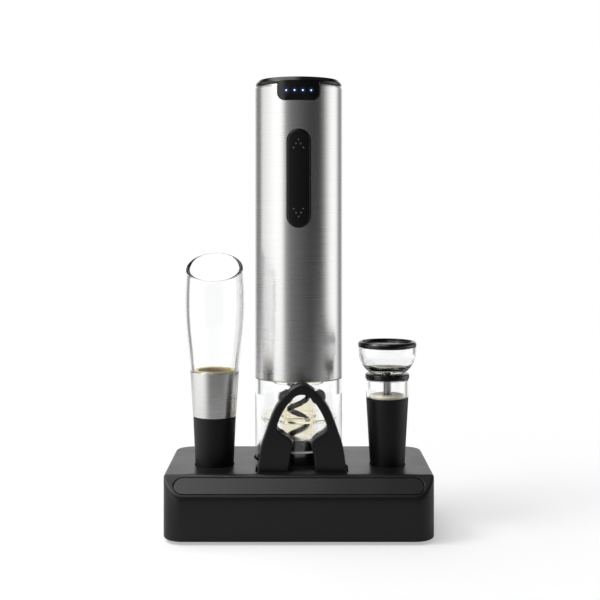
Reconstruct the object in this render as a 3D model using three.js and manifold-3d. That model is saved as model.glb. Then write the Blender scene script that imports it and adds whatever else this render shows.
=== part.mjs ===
// Cordless wine opener standing on its stand, with an aerating pourer, a vacuum
// pump stopper and a foil cutter. Millimetres, +Z up, front towards -Y.
// The origin is the centre of the stand's footprint, at the level of its feet.
import * as THREE from 'three';
import { mergeVertices } from 'three/addons/utils/BufferGeometryUtils.js';
import Module from 'manifold-3d';

const wasm = await Module();
wasm.setup();

// ---- driving dimensions -------------------------------------------------------
const GAP = 0.3;              // clearance between touching pieces

const STAND = {
  width: 144, depth: 86, top: 35, bottom: 1.6, cornerRadius: 11,
  edgeRadius: 1.5, chamfer: 10, wall: 2.6, recessDepth: 3,
};
const PANEL = { length: 132.3, width: 10, thickness: 1.2, pocket: 1.5 };
const FOOT = { radius: 6, x: 58, y: 31, height: 1.8 };
const SCREW = { x: 62, y: 18, head: 3, shank: 1.4, length: 9, boss: 3.6 };
const COVER = { inset: 0.4, thickness: 2 };

const OPENER = { x: 0, y: 13.7, radius: 25, wall: 1, bottom: 80.8, steelTop: 246.2 };
const CAP = { bottom: 246.5, top: 250, topRadius: 22.6, spigotBottom: 240.5 };
const LED_TAB = { width: 23.5, bottom: 236.7, corner: 4 };
const LED = { radius: 0.8, spacing: 4.6, z: 242 };
const ROCKER = { width: 12.9, length: 54, z: 193.4, thickness: 2.6, pivotY: -20.8, tilt: 3, gap: 0.4 };
const SLEEVE = { radius: 24.7, bore: 22.1, bottom: 32.3, shoulder: 80.5, top: 95, plugRadius: 23.7 };
const NECK = { bore: 16, bottom: 33, top: 57 };
const CHAMBER = { radius: 14.5, bore: 13, bottom: 77.5, top: 106 };
const GUIDE = { radius: 9.6, bore: 8.3, bottom: 46, top: 66.5, flangeBottom: 57.3, flange: 1.5 };
const WORM = { pathRadius: 5.3, wire: 1.55, pitch: 15, leftAt: 47.1, bottom: 38, top: 101 };
const CHUCK = { radius: 8.4, bottom: 98.6, top: 107.2 };
const GEAR = { module: 1, sunTeeth: 12, planetTeeth: 12, ringTeeth: 36, height: 12, bottom: 114 };
const CHASSIS = { radius: 23.6, wall: 2, bottom: 97, top: 240 };
const BOARD = { width: 22, height: 62, y: -15.2, switchOffset: 19 };
const MOTOR = { radius: 14, bottom: 134, top: 170 };
const CELL = { radius: 7, length: 50, bottom: 178, y: 8, x: 7.6 };

const AERATOR = { x: -46.7, y: -6 };
const PUMP = { x: 49.2, y: -6, travel: 20 };
const SOCKET = { wall: 2.4, bottom: 9 };

const CUTTER = { x: 1.7, front: -26.3, thickness: 12, pocket: 3 };
const WHEEL = { thickness: 1, axle: 1.1, slot: 1.8 };

// ---- materials ----------------------------------------------------------------
function material(color, roughness, metalness, opacity = 1) {
  return new THREE.MeshStandardMaterial({
    color, roughness, metalness, opacity, transparent: opacity < 1,
  });
}
const satinBlack = material(0x1b1b1d, 0.5, 0);
const glossBlack = material(0x0e0e10, 0.15, 0);
const brushedSteel = material(0xb9b7b4, 0.35, 1);
const darkSteel = material(0x3a3a3c, 0.3, 1);
const clearPlastic = material(0xe6e8ea, 0.08, 0, 0.3);
const rubberBlack = material(0x151515, 0.8, 0);
const ledWhite = material(0xcfe4ff, 0.2, 0);
const boardGreen = material(0x1d5c35, 0.6, 0);
const cellBlue = material(0x2a4f8f, 0.4, 0);
const nylonWhite = material(0xe4e0d6, 0.6, 0);
const castIron = material(0x55565a, 0.7, 1);

// ---- solids -------------------------------------------------------------------
// A closed three.js geometry as a manifold solid, turned outwards if need be.
function solid(geometry) {
  const bare = geometry.clone();
  for (const name of Object.keys(bare.attributes)) {
    if (name !== 'position') bare.deleteAttribute(name);
  }
  const merged = mergeVertices(bare, 1e-4);
  const position = merged.attributes.position.array;
  const index = merged.index.array;
  const triangles = [];
  let volume = 0;
  for (let i = 0; i < index.length; i += 3) {
    const [a, b, c] = [index[i], index[i + 1], index[i + 2]];
    if (a === b || b === c || a === c) continue;
    triangles.push(a, b, c);
    const [p, q, r] = [a, b, c].map((v) => new THREE.Vector3().fromArray(position, v * 3));
    volume += p.dot(q.cross(r));
  }
  if (volume < 0) triangles.reverse();
  return new wasm.Manifold(new wasm.Mesh({
    numProp: 3,
    vertProperties: Float32Array.from(position),
    triVerts: Uint32Array.from(triangles),
  }));
}

// A manifold solid back as a three.js geometry.
function geometryOf(body) {
  const mesh = body.getMesh();
  const geometry = new THREE.BufferGeometry();
  geometry.setAttribute('position', new THREE.BufferAttribute(mesh.vertProperties, 3));
  geometry.setIndex(new THREE.BufferAttribute(mesh.triVerts, 1));
  geometry.computeVertexNormals();
  return geometry;
}

// A profile of [radius, z] points turned about Z; it closes on itself.
function revolve(profile, segments = 24) {
  const points = [...profile, profile[0]].map(([r, z]) => new THREE.Vector2(r, z));
  return solid(new THREE.LatheGeometry(points, segments).rotateX(Math.PI / 2));
}

function ring(outer, inner, z0, z1, segments = 24) {
  return revolve([[inner, z0], [outer, z0], [outer, z1], [inner, z1]], segments);
}

function disc(radius, z0, z1, segments = 20) {
  return revolve([[0, z0], [radius, z0], [radius, z1], [0, z1]], segments);
}

function box(width, depth, height, x, y, z) {
  return solid(new THREE.BoxGeometry(width, depth, height).translate(x, y, z));
}

// A pin or hole along Y, from y0 to y1.
function rodY(radius, x, z, y0, y1, segments = 16) {
  const rod = new THREE.CylinderGeometry(radius, radius, y1 - y0, segments);
  return solid(rod.translate(x, (y0 + y1) / 2, z));
}

// A flat outline with depth along Z.
function plate(shape, z0, z1, curveSegments = 8) {
  const options = { depth: z1 - z0, bevelEnabled: false, curveSegments };
  return solid(new THREE.ExtrudeGeometry(shape, options).translate(0, 0, z0));
}

// A flat outline drawn in XZ with its thickness along Y, from y0 to y1.
function upright(shape, y0, y1, curveSegments = 8) {
  const options = { depth: y1 - y0, bevelEnabled: false, curveSegments };
  const geometry = new THREE.ExtrudeGeometry(shape, options);
  return solid(geometry.rotateX(Math.PI / 2).translate(0, y1, 0));
}

function roundedRectangle(width, depth, radius) {
  const shape = new THREE.Shape();
  const [x, y] = [width / 2, depth / 2];
  shape.moveTo(-x + radius, -y);
  shape.absarc(x - radius, -y + radius, radius, -Math.PI / 2, 0);
  shape.absarc(x - radius, y - radius, radius, 0, Math.PI / 2);
  shape.absarc(-x + radius, y - radius, radius, Math.PI / 2, Math.PI);
  shape.absarc(-x + radius, -y + radius, radius, Math.PI, Math.PI * 1.5);
  return shape;
}

// An upright stadium: round ends, straight sides.
function stadium(width, length) {
  const shape = new THREE.Shape();
  const r = width / 2;
  const y = length / 2 - r;
  shape.absarc(0, y, r, 0, Math.PI);
  shape.absarc(0, -y, r, Math.PI, Math.PI * 2);
  shape.closePath();
  return shape;
}

// ---- scene graph --------------------------------------------------------------
const set = new THREE.Group();

function group(x, y, z = 0) {
  const part = new THREE.Group();
  part.position.set(x, y, z);
  set.add(part);
  return part;
}

function add(parent, name, body, finish) {
  const mesh = new THREE.Mesh(geometryOf(body), finish);
  mesh.name = name;
  parent.add(mesh);
  return mesh;
}

// ---- stand --------------------------------------------------------------------
// Everything above the plane of the front chamfer, moved in by `inset`.
function chamferCut(inset) {
  const size = 60;
  const tool = new THREE.BoxGeometry(STAND.width + 20, size, size);
  tool.translate(0, 0, size / 2 - inset);
  tool.rotateX(Math.PI / 4);
  const middle = STAND.chamfer / 2;
  tool.translate(0, -STAND.depth / 2 + middle, STAND.top - middle);
  return solid(tool);
}

// A shallow pocket or a panel on the chamfer: a capsule lying along X.
function chamferCapsule(length, width, low, high) {
  const options = { depth: high - low, bevelEnabled: false, curveSegments: 10 };
  const geometry = new THREE.ExtrudeGeometry(stadium(width, length), options);
  geometry.rotateZ(Math.PI / 2);
  geometry.translate(0, 0, low);
  geometry.rotateX(Math.PI / 4);
  const middle = STAND.chamfer / 2;
  geometry.translate(0, -STAND.depth / 2 + middle, STAND.top - middle);
  return solid(geometry);
}

// The tapered plug of a stopper, from its tip up to the stand's top and beyond.
const AERATOR_PLUG = [[8.9, 11], [10.65, 35], [11.8, 61.3]];
const PUMP_PLUG = [[8.5, 12], [9.65, 35], [11.7, 71.8]];

function plugHole(plug) {
  const [tip, mouth] = plug;
  const slope = (mouth[0] - tip[0]) / (mouth[1] - tip[1]);
  const low = tip[1] - GAP;
  const high = STAND.top + 1;
  const radius = (z) => tip[0] + slope * (z - tip[1]) + GAP;
  return revolve([[0, low], [radius(low), low], [radius(high), high], [0, high]], 32);
}

// The foil cutter's outline, half-widths and heights above the stand's top.
const CUTTER_OUTSIDE = [
  [24.1, 0], [22.3, 12.5], [19.8, 20.4], [17.2, 27.9], [13.9, 35], [8.95, 41.2], [4.4, 45.1], [0, 46.9],
];
const CUTTER_INSIDE = [
  [7.1, 0], [6.3, 8], [4.9, 14.5], [6.9, 17.8], [9.8, 19.9], [12.6, 21.9], [13.3, 24],
  [12.4, 27.4], [10.2, 32], [7.9, 35.6], [5.4, 38.6], [2.8, 40.5], [0, 41.1],
];

// One smooth curve through half-outline points, as `count` points.
function smoothHalf(points, count) {
  const curve = new THREE.SplineCurve(points.map(([x, z]) => new THREE.Vector2(x, z)));
  return curve.getSpacedPoints(count);
}

function cutterShape(grow) {
  const outer = smoothHalf(CUTTER_OUTSIDE, 10);
  const inner = smoothHalf(CUTTER_INSIDE, 16);
  const z0 = STAND.top - CUTTER.pocket + (grow > 0 ? -1 : GAP);
  const shape = new THREE.Shape();
  const foot = (side) => [side * (24.6 + grow), side * (7.3 - grow)];
  const [outR, inR] = foot(1);
  const [outL, inL] = foot(-1);
  shape.moveTo(inR, z0);
  shape.lineTo(outR, z0);
  outer.forEach((p) => shape.lineTo(p.x, STAND.top + p.y));
  [...outer].reverse().slice(1).forEach((p) => shape.lineTo(-p.x, STAND.top + p.y));
  shape.lineTo(outL, z0);
  shape.lineTo(inL, z0);
  inner.forEach((p) => shape.lineTo(-p.x, STAND.top + p.y));
  [...inner].reverse().slice(1).forEach((p) => shape.lineTo(p.x, STAND.top + p.y));
  shape.closePath();
  return shape;
}

function buildStand() {
  const stand = group(0, 0);
  const { width, depth, top, bottom, cornerRadius, edgeRadius, wall } = STAND;
  const outline = roundedRectangle(
    width - 2 * edgeRadius, depth - 2 * edgeRadius, cornerRadius - edgeRadius);
  const block = new THREE.ExtrudeGeometry(outline, {
    depth: top - bottom - 2 * edgeRadius, curveSegments: 4,
    bevelThickness: edgeRadius, bevelSize: edgeRadius, bevelSegments: 1,
  });
  let shell = solid(block.translate(0, 0, bottom + edgeRadius)).subtract(chamferCut(0));

  const inside = roundedRectangle(width - 2 * wall, depth - 2 * wall, cornerRadius - wall);
  let hollow = plate(inside, bottom - 1, top - wall, 4).subtract(chamferCut(wall + PANEL.pocket));
  const recessFloor = top - STAND.recessDepth - wall;
  hollow = hollow.subtract(
    disc(OPENER.radius + wall, recessFloor, top, 32).translate([OPENER.x, OPENER.y, 0]));
  for (const [place, plug] of [[AERATOR, AERATOR_PLUG], [PUMP, PUMP_PLUG]]) {
    const post = disc(plug[1][0] + SOCKET.wall + 0.5, SOCKET.bottom, top, 24);
    hollow = hollow.subtract(post.translate([place.x, place.y, 0]));
  }
  const legDepth = CUTTER.thickness + 2 * wall;
  const legMiddle = CUTTER.front + CUTTER.thickness / 2;
  hollow = hollow.subtract(box(58, legDepth, 12, CUTTER.x, legMiddle, recessFloor + 6));
  for (const [sx, sy] of [[1, 1], [1, -1], [-1, 1], [-1, -1]]) {
    const boss = disc(SCREW.boss, bottom + COVER.thickness + 1, top, 12);
    hollow = hollow.subtract(boss.translate([sx * SCREW.x, sy * SCREW.y, 0]));
  }
  shell = shell.subtract(hollow);

  const recess = disc(OPENER.radius + 0.4, top - STAND.recessDepth, top + 1, 48);
  shell = shell.subtract(recess.translate([OPENER.x, OPENER.y, 0]));
  shell = shell.subtract(plugHole(AERATOR_PLUG).translate([AERATOR.x, AERATOR.y, 0]));
  shell = shell.subtract(plugHole(PUMP_PLUG).translate([PUMP.x, PUMP.y, 0]));
  for (const side of [-1, 1]) {
    const pocket = box(18.2, CUTTER.thickness + 2 * GAP, CUTTER.pocket + 1,
      CUTTER.x + side * 15.9, legMiddle, top - CUTTER.pocket / 2 + 0.5);
    shell = shell.subtract(pocket);
  }
  shell = shell.subtract(
    chamferCapsule(PANEL.length + 2 * GAP, PANEL.width + 2 * GAP, -PANEL.pocket, 2));
  for (const [sx, sy] of [[1, 1], [1, -1], [-1, 1], [-1, -1]]) {
    const pilot = disc(SCREW.shank + GAP, bottom, bottom + SCREW.length + 2, 12);
    shell = shell.subtract(pilot.translate([sx * SCREW.x, sy * SCREW.y, 0]));
  }
  add(stand, 'stand_shell', shell, satinBlack);

  const floor = -PANEL.pocket + GAP;
  add(stand, 'stand_panel',
    chamferCapsule(PANEL.length, PANEL.width, floor, floor + PANEL.thickness), satinBlack);

  const inset = wall + COVER.inset;
  const coverShape = roundedRectangle(width - 2 * inset, depth - 2 * inset, cornerRadius - inset);
  const coverTop = bottom + COVER.thickness;
  let cover = plate(coverShape, bottom, coverTop, 4);
  for (const [sx, sy] of [[1, 1], [1, -1], [-1, 1], [-1, -1]]) {
    const clearance = disc(SCREW.shank + GAP, bottom - 1, coverTop + 1, 10);
    const seat = disc(SCREW.head + GAP, bottom - 1, bottom + 1, 12);
    cover = cover.subtract(clearance.add(seat).translate([sx * SCREW.x, sy * SCREW.y, 0]));
    const pad = disc(FOOT.radius + GAP, bottom - 1, bottom + 0.8, 16);
    cover = cover.subtract(pad.translate([sx * FOOT.x * 0.8, sy * FOOT.y, 0]));
  }
  add(stand, 'stand_bottom_cover', cover, satinBlack);

  let count = 1;
  for (const [sx, sy] of [[-1, -1], [1, -1], [1, 1], [-1, 1]]) {
    const foot = disc(FOOT.radius, 0, bottom + 0.8 - GAP, 16);
    add(stand, `rubber_foot_${count}`,
      foot.translate([sx * FOOT.x * 0.8, sy * FOOT.y, 0]), rubberBlack);
    const screw = disc(SCREW.head, bottom + 0.1, bottom + 0.7, 12)
      .add(disc(SCREW.shank, bottom + 0.1, bottom + SCREW.length, 8));
    add(stand, `cover_screw_${count}`,
      screw.translate([sx * SCREW.x, sy * SCREW.y, 0]), darkSteel);
    count += 1;
  }

  const slab = box(46, 46, 12, 0, 2, coverTop + GAP + 6);
  add(stand, 'ballast_weight', slab, castIron);
}

// ---- opener: outside ----------------------------------------------------------
// The opener's group has its own axis as X = Y = 0.
function rockerCut(clearance) {
  const shape = stadium(ROCKER.width + 2 * clearance, ROCKER.length + 2 * clearance);
  return upright(shape, -OPENER.radius - 2, -CHASSIS.radius + CHASSIS.wall + 3, 8)
    .translate([0, 0, ROCKER.z]);
}

function tabShape(grow) {
  const half = LED_TAB.width / 2 + grow;
  const low = LED_TAB.bottom - grow;
  const high = CAP.bottom + 0.2;
  const r = LED_TAB.corner;
  const shape = new THREE.Shape();
  shape.moveTo(-half, high);
  shape.lineTo(-half, low + r);
  shape.absarc(-half + r, low + r, r, Math.PI, Math.PI * 1.5);
  shape.absarc(half - r, low + r, r, Math.PI * 1.5, Math.PI * 2);
  shape.lineTo(half, high);
  shape.closePath();
  return shape;
}

function buildOpenerOutside(opener) {
  const { radius, wall, bottom, steelTop } = OPENER;
  let shell = ring(radius, radius - wall, bottom, steelTop, 48);
  shell = shell.subtract(rockerCut(ROCKER.gap));
  shell = shell.subtract(upright(tabShape(0.3), -radius - 2, -15, 4));
  const inletHole = box(10.2, 8, 4.6, 0, radius, 150);
  shell = shell.subtract(inletHole);
  add(opener, 'outer_shell', shell, brushedSteel);

  const { topRadius } = CAP;
  const spigot = radius - wall - GAP;
  const bevel = new THREE.QuadraticBezierCurve(
    new THREE.Vector2(radius, CAP.bottom + 0.9),
    new THREE.Vector2(radius - 0.6, CAP.top - 0.1),
    new THREE.Vector2(topRadius, CAP.top));
  const crown = bevel.getPoints(2).map((p) => [p.x, p.y]);
  let cap = revolve([
    [0, CAP.top - 2.4], [spigot - 2, CAP.top - 2.4], [spigot - 2, CAP.spigotBottom],
    [spigot, CAP.spigotBottom], [spigot, CAP.bottom], [radius, CAP.bottom], ...crown, [0, CAP.top],
  ], 48);
  const tab = ring(radius, spigot - 2, LED_TAB.bottom - 1, CAP.bottom + 0.4, 48)
    .intersect(upright(tabShape(0), -radius - 2, -15, 4));
  cap = cap.add(tab);
  const ledX = [-1.5, -0.5, 0.5, 1.5].map((k) => k * LED.spacing);
  for (const x of ledX) {
    cap = cap.subtract(rodY(LED.radius + 0.15, x, LED.z, -radius - 2, -16, 8));
  }
  add(opener, 'top_cap', cap, glossBlack);

  ledX.forEach((x, i) => {
    const front = -Math.sqrt(radius * radius - x * x) + 0.15;
    add(opener, `led_${i + 1}`, rodY(LED.radius, x, LED.z, front, -19.2, 8), ledWhite);
  });
  add(opener, 'led_board', box(18, 1.2, 7, 0, -18.2, LED.z - 0.5), boardGreen);

  add(opener, 'charging_port', box(9.6, 7, 4, 0, radius - 3.9, 150), darkSteel);
}

// The rocker's curved face follows the steel tube; it tilts on an axle along X.
function buildRocker(opener) {
  const inner = OPENER.radius - ROCKER.thickness;
  const face = stadium(ROCKER.width, ROCKER.length);
  const long = ring(OPENER.radius + 0.3, inner, ROCKER.z - 40, ROCKER.z + 40, 48);
  let rocker = long.intersect(upright(face, -OPENER.radius - 2, -15, 10).translate([0, 0, ROCKER.z]));
  const pivotZ = ROCKER.z;
  const lug = box(6, 4.4, 5, 0, ROCKER.pivotY, pivotZ);
  const pivotHole = rodX(1.1, -7, 7, ROCKER.pivotY, pivotZ);
  rocker = rocker.add(lug).subtract(pivotHole);
  add(opener, 'rocker_button', rocker, satinBlack);
  add(opener, 'rocker_axle', rodX(1.05, -8.5, 8.5, ROCKER.pivotY, pivotZ), darkSteel);
}

// A pin or hole along X, from x0 to x1.
function rodX(radius, x0, x1, y, z, segments = 16) {
  const rod = new THREE.CylinderGeometry(radius, radius, x1 - x0, segments);
  return solid(rod.rotateZ(Math.PI / 2).translate((x0 + x1) / 2, y, z));
}

// ---- opener: inside -----------------------------------------------------------
function buildChassis(opener) {
  const { radius, wall, bottom, top } = CHASSIS;
  const tube = ring(radius, radius - wall, bottom, top, 40)
    .add(ring(radius - 1, MOTOR.radius + GAP, MOTOR.top - 8, MOTOR.top - 5, 40));
  const big = 60;
  const middle = (bottom + top) / 2;
  let front = tube.subtract(box(big, big, 200, 0, big / 2 - GAP / 2, middle));
  let rear = tube.subtract(box(big, big, 200, 0, -big / 2 + GAP / 2, middle));
  // Cheeks beside the rocker carry its axle.
  for (const side of [-1, 1]) {
    front = front.add(box(2, 5.4, 12, side * 8.8, -19.8, ROCKER.z)
      .intersect(disc(radius, bottom, top, 40)));
  }
  front = front.subtract(rockerCut(1));
  front = front.subtract(rodX(1.05 + GAP, -12, 12, ROCKER.pivotY, ROCKER.z));
  front = front.subtract(
    box(BOARD.width + 1, 3, BOARD.height + 1, 0, BOARD.y, ROCKER.z));
  front = front.subtract(box(LED_TAB.width + 1, 12, 10, 0, -radius, LED_TAB.bottom + 2));
  rear = rear.subtract(box(10.2, 12, 4.6, 0, radius, 150));
  const spigot = OPENER.radius - OPENER.wall - GAP;
  const capRoom = ring(spigot + 1, spigot - 2 - GAP, CAP.spigotBottom - GAP, top + 10, 40);
  front = front.subtract(capRoom);
  rear = rear.subtract(capRoom);
  add(opener, 'chassis_front', front, satinBlack);
  add(opener, 'chassis_rear', rear, satinBlack);
}

function buildPower(opener) {
  const cellTop = CELL.bottom + CELL.length;
  for (const side of [-1, 1]) {
    const cell = disc(CELL.radius, CELL.bottom, cellTop - 1, 20)
      .add(disc(2.6, cellTop - 2, cellTop, 12));
    add(opener, `battery_cell_${side < 0 ? 1 : 2}`,
      cell.translate([side * CELL.x, CELL.y, 0]), cellBlue);
  }
  const plateAt = (z) => disc(20, z, z + 1.6, 32).intersect(box(36, 22, 10, 0, CELL.y - 1, z));
  const cradle = plateAt(CELL.bottom - 1.6 - GAP)
    .add(plateAt(cellTop + GAP))
    .add(box(26, 1.6, CELL.length + 2 + 2 * GAP, 0, CELL.y - 9.2, CELL.bottom + CELL.length / 2));
  add(opener, 'battery_cradle', cradle, nylonWhite);

  const board = box(BOARD.width, 1.6, BOARD.height, 0, BOARD.y, ROCKER.z);
  add(opener, 'control_board', board, boardGreen);
  const boardFront = BOARD.y - 0.8 - GAP;
  for (const [name, side] of [['up_switch', 1], ['down_switch', -1]]) {
    const z = ROCKER.z + side * BOARD.switchOffset;
    const body = box(6, 3.2, 6, 0, boardFront - 1.6, z);
    const plunger = rodY(1.5, 0, z, boardFront - 4.6, boardFront - 3, 12);
    add(opener, name, body.add(plunger), satinBlack);
  }

  const can = revolve([
    [0, MOTOR.bottom], [5, MOTOR.bottom], [MOTOR.radius - 1, MOTOR.bottom],
    [MOTOR.radius, MOTOR.bottom + 1], [MOTOR.radius, MOTOR.top - 1],
    [MOTOR.radius - 1, MOTOR.top], [4, MOTOR.top], [4, MOTOR.top + 2], [0, MOTOR.top + 2],
  ], 32);
  const shaftRoom = disc(1.6 + GAP, MOTOR.bottom - 1, MOTOR.bottom + 6, 12);
  add(opener, 'motor_can', can.subtract(shaftRoom), darkSteel);
}

// A spur gear's outline: straight-flanked teeth with a little backlash.
function gearShape(teeth, module, inward = false) {
  const pitch = module * teeth / 2;
  const tip = pitch + (inward ? -0.7 : 0.7) * module;
  const root = pitch + (inward ? 0.95 : -0.95) * module;
  const step = Math.PI * 2 / teeth;
  const points = [];
  for (let i = 0; i < teeth; i += 1) {
    const centre = i * step;
    for (const [radius, share] of [[root, -0.33], [tip, -0.13], [tip, 0.13], [root, 0.33]]) {
      const angle = centre + share * step;
      points.push(new THREE.Vector2(radius * Math.cos(angle), radius * Math.sin(angle)));
    }
  }
  return points;
}

function buildGearbox(opener) {
  const { module, sunTeeth, planetTeeth, ringTeeth, height, bottom } = GEAR;
  const top = bottom + height;
  const centres = module * (sunTeeth + planetTeeth) / 2;

  const sun = plate(new THREE.Shape(gearShape(sunTeeth, module)), bottom, top, 4)
    .add(disc(1.6, top - 1, MOTOR.bottom + 5.4, 12));
  add(opener, 'sun_gear', sun, darkSteel);

  const teeth = plate(new THREE.Shape(gearShape(ringTeeth, module, true)), bottom - 1, top + 1, 4);
  let housing = disc(CHASSIS.radius - CHASSIS.wall - GAP, bottom - 4.5, top + 2.4, 48)
    .subtract(teeth)
    .subtract(disc(7.2, bottom - 6, bottom, 32))
    .subtract(disc(GEAR.module * 18 + 1.1, bottom - 2.6, bottom + 0.01, 48))
    .subtract(disc(GEAR.module * 18 + 1.1, top - 0.01, top + 4, 48));
  add(opener, 'ring_gear_housing', housing, nylonWhite);

  for (let k = 0; k < 3; k += 1) {
    const angle = k * Math.PI * 2 / 3;
    const turn = (180 / planetTeeth) + k * 120;
    const planet = plate(new THREE.Shape(gearShape(planetTeeth, module)), bottom, top - 0.3, 4)
      .subtract(disc(1.6, bottom - 1, top + 1, 16))
      .rotate([0, 0, turn])
      .translate([centres * Math.cos(angle), centres * Math.sin(angle), 0]);
    add(opener, `planet_gear_${k + 1}`, planet, nylonWhite);
  }

  let carrier = disc(16.6, bottom - 2.2, bottom - 0.4, 36)
    .add(disc(6.8, CHUCK.top - 0.8, bottom - 2, 28));
  for (let k = 0; k < 3; k += 1) {
    const angle = k * Math.PI * 2 / 3;
    const pin = disc(1.3, bottom - 1, top - 1, 16);
    carrier = carrier.add(
      pin.translate([centres * Math.cos(angle), centres * Math.sin(angle), 0]));
  }
  carrier = carrier.subtract(disc(3.4, CHUCK.top - 2, bottom - 5, 16));
  add(opener, 'planet_carrier', carrier, darkSteel);
}

function buildWorm(opener) {
  const { pathRadius, wire, pitch, leftAt, bottom, top } = WORM;
  class Helix extends THREE.Curve {
    getPoint(t, target = new THREE.Vector3()) {
      const z = bottom + (top - bottom) * t;
      const angle = Math.PI + 2 * Math.PI * (z - leftAt) / pitch;
      const lead = Math.min(1, 0.35 + t * 9);
      return target.set(pathRadius * lead * Math.cos(angle), pathRadius * lead * Math.sin(angle), z);
    }
  }
  const section = new THREE.Shape();
  section.absarc(0, 0, wire, 0, Math.PI * 2);
  const helix = new THREE.ExtrudeGeometry(section, {
    steps: 50, curveSegments: 3, bevelEnabled: false, extrudePath: new Helix(),
  });
  add(opener, 'worm', solid(helix), darkSteel);

  const socket = disc(CHUCK.radius, CHUCK.bottom, CHUCK.top - 1.1, 28);
  const room = ring(pathRadius + wire + GAP, pathRadius - wire - GAP, CHUCK.bottom - 1, top + 1.9, 24);
  add(opener, 'worm_chuck', socket.subtract(room)
    .add(disc(3, CHUCK.bottom + 1, CHUCK.top + 1.5, 16)), satinBlack);
}

function buildClearParts(opener) {
  const { radius, bore, bottom, shoulder, top, plugRadius } = SLEEVE;
  const sleeve = revolve([
    [bore, bottom], [radius - 0.6, bottom], [radius, bottom + 0.6], [radius, shoulder],
    [plugRadius, shoulder], [plugRadius, top], [bore, top],
  ], 24);
  add(opener, 'clear_sleeve', sleeve, clearPlastic);

  const guideOut = bore - GAP;
  const guide = revolve([
    [NECK.bore, NECK.bottom + 3], [NECK.bore + 2, NECK.bottom], [guideOut, NECK.bottom],
    [guideOut, NECK.top], [guideOut - 1.6, NECK.top], [guideOut - 1.6, NECK.bottom + 8],
    [NECK.bore + 1.6, NECK.bottom + 8], [NECK.bore + 1.6, NECK.top - 3],
    [NECK.bore, NECK.top - 3],
  ], 24);
  add(opener, 'neck_guide', guide, clearPlastic);

  // The collar that centres the worm; a bottle's lip pushes it up by its flange.
  const flangeTop = GUIDE.flangeBottom + GUIDE.flange;
  const collar = revolve([
    [GUIDE.bore, GUIDE.bottom], [GUIDE.radius, GUIDE.bottom],
    [GUIDE.radius, GUIDE.flangeBottom], [bore - 0.5, GUIDE.flangeBottom],
    [bore - 0.5, flangeTop], [GUIDE.radius, flangeTop],
    [GUIDE.radius, GUIDE.top], [GUIDE.bore, GUIDE.top],
  ], 24);
  add(opener, 'worm_guide', collar, clearPlastic);

  const flange = CHASSIS.radius - CHASSIS.wall - GAP;
  const chamber = revolve([
    [CHAMBER.bore, CHAMBER.bottom], [CHAMBER.radius, CHAMBER.bottom],
    [CHAMBER.radius, CHAMBER.top - 2], [flange, CHAMBER.top - 2], [flange, CHAMBER.top],
    [CHAMBER.bore, CHAMBER.top],
  ], 24);
  add(opener, 'cork_chamber', chamber, clearPlastic);
}

function buildOpener() {
  const opener = group(OPENER.x, OPENER.y);
  buildOpenerOutside(opener);
  buildRocker(opener);
  buildChassis(opener);
  buildPower(opener);
  buildGearbox(opener);
  buildWorm(opener);
  buildClearParts(opener);
}

// ---- aerating pourer ----------------------------------------------------------
function curveProfile(points, count) {
  const curve = new THREE.SplineCurve(points.map(([r, z]) => new THREE.Vector2(r, z)));
  return curve.getPoints(count).map((p) => [p.x, p.y]);
}

function buildAerator() {
  const aerator = group(AERATOR.x, AERATOR.y);
  const [tip, mouth, shoulder] = AERATOR_PLUG;
  const stopper = revolve([
    [4.6, tip[1]], [tip[0] - 0.8, tip[1]], [tip[0], tip[1] + 0.8], mouth, shoulder,
    [9.2, shoulder[1]], [9.2, shoulder[1] - 12], [4.6, shoulder[1] - 14],
  ], 24);
  add(aerator, 'aerator_stopper', stopper, rubberBlack);

  const ringBottom = shoulder[1] + GAP;
  const ringTop = 86.7;
  const steel = revolve([
    [10.2, ringBottom], [11.8, ringBottom], [13.6, ringTop], [12, ringTop],
  ], 24);
  add(aerator, 'aerator_ring', steel, brushedSteel);

  const outside = curveProfile([
    [13.6, 87], [14.6, 98], [15.9, 110], [16.5, 123], [16.2, 136], [15.3, 154]], 5);
  const inside = curveProfile([
    [13.1, 154], [14.1, 136], [14.4, 123], [13.8, 110], [12.5, 98], [11.5, 87]], 5);
  const mouthPlane = new THREE.BoxGeometry(80, 80, 40);
  mouthPlane.translate(0, 0, 20);
  mouthPlane.rotateX(24.6 * Math.PI / 180);
  mouthPlane.translate(0, 0, 144.5);
  const glass = revolve([...outside, ...inside], 40).subtract(solid(mouthPlane));
  add(aerator, 'aerator_glass', glass, clearPlastic);

  // The air tube: a collar in the stopper's mouth with a nozzle through the ring.
  const core = revolve([
    [3.2, 48], [8.9, 51], [8.9, 66], [6, 72], [4.6, 84], [3.2, 84],
  ], 24);
  add(aerator, 'aerator_core', core, clearPlastic);
}

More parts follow.
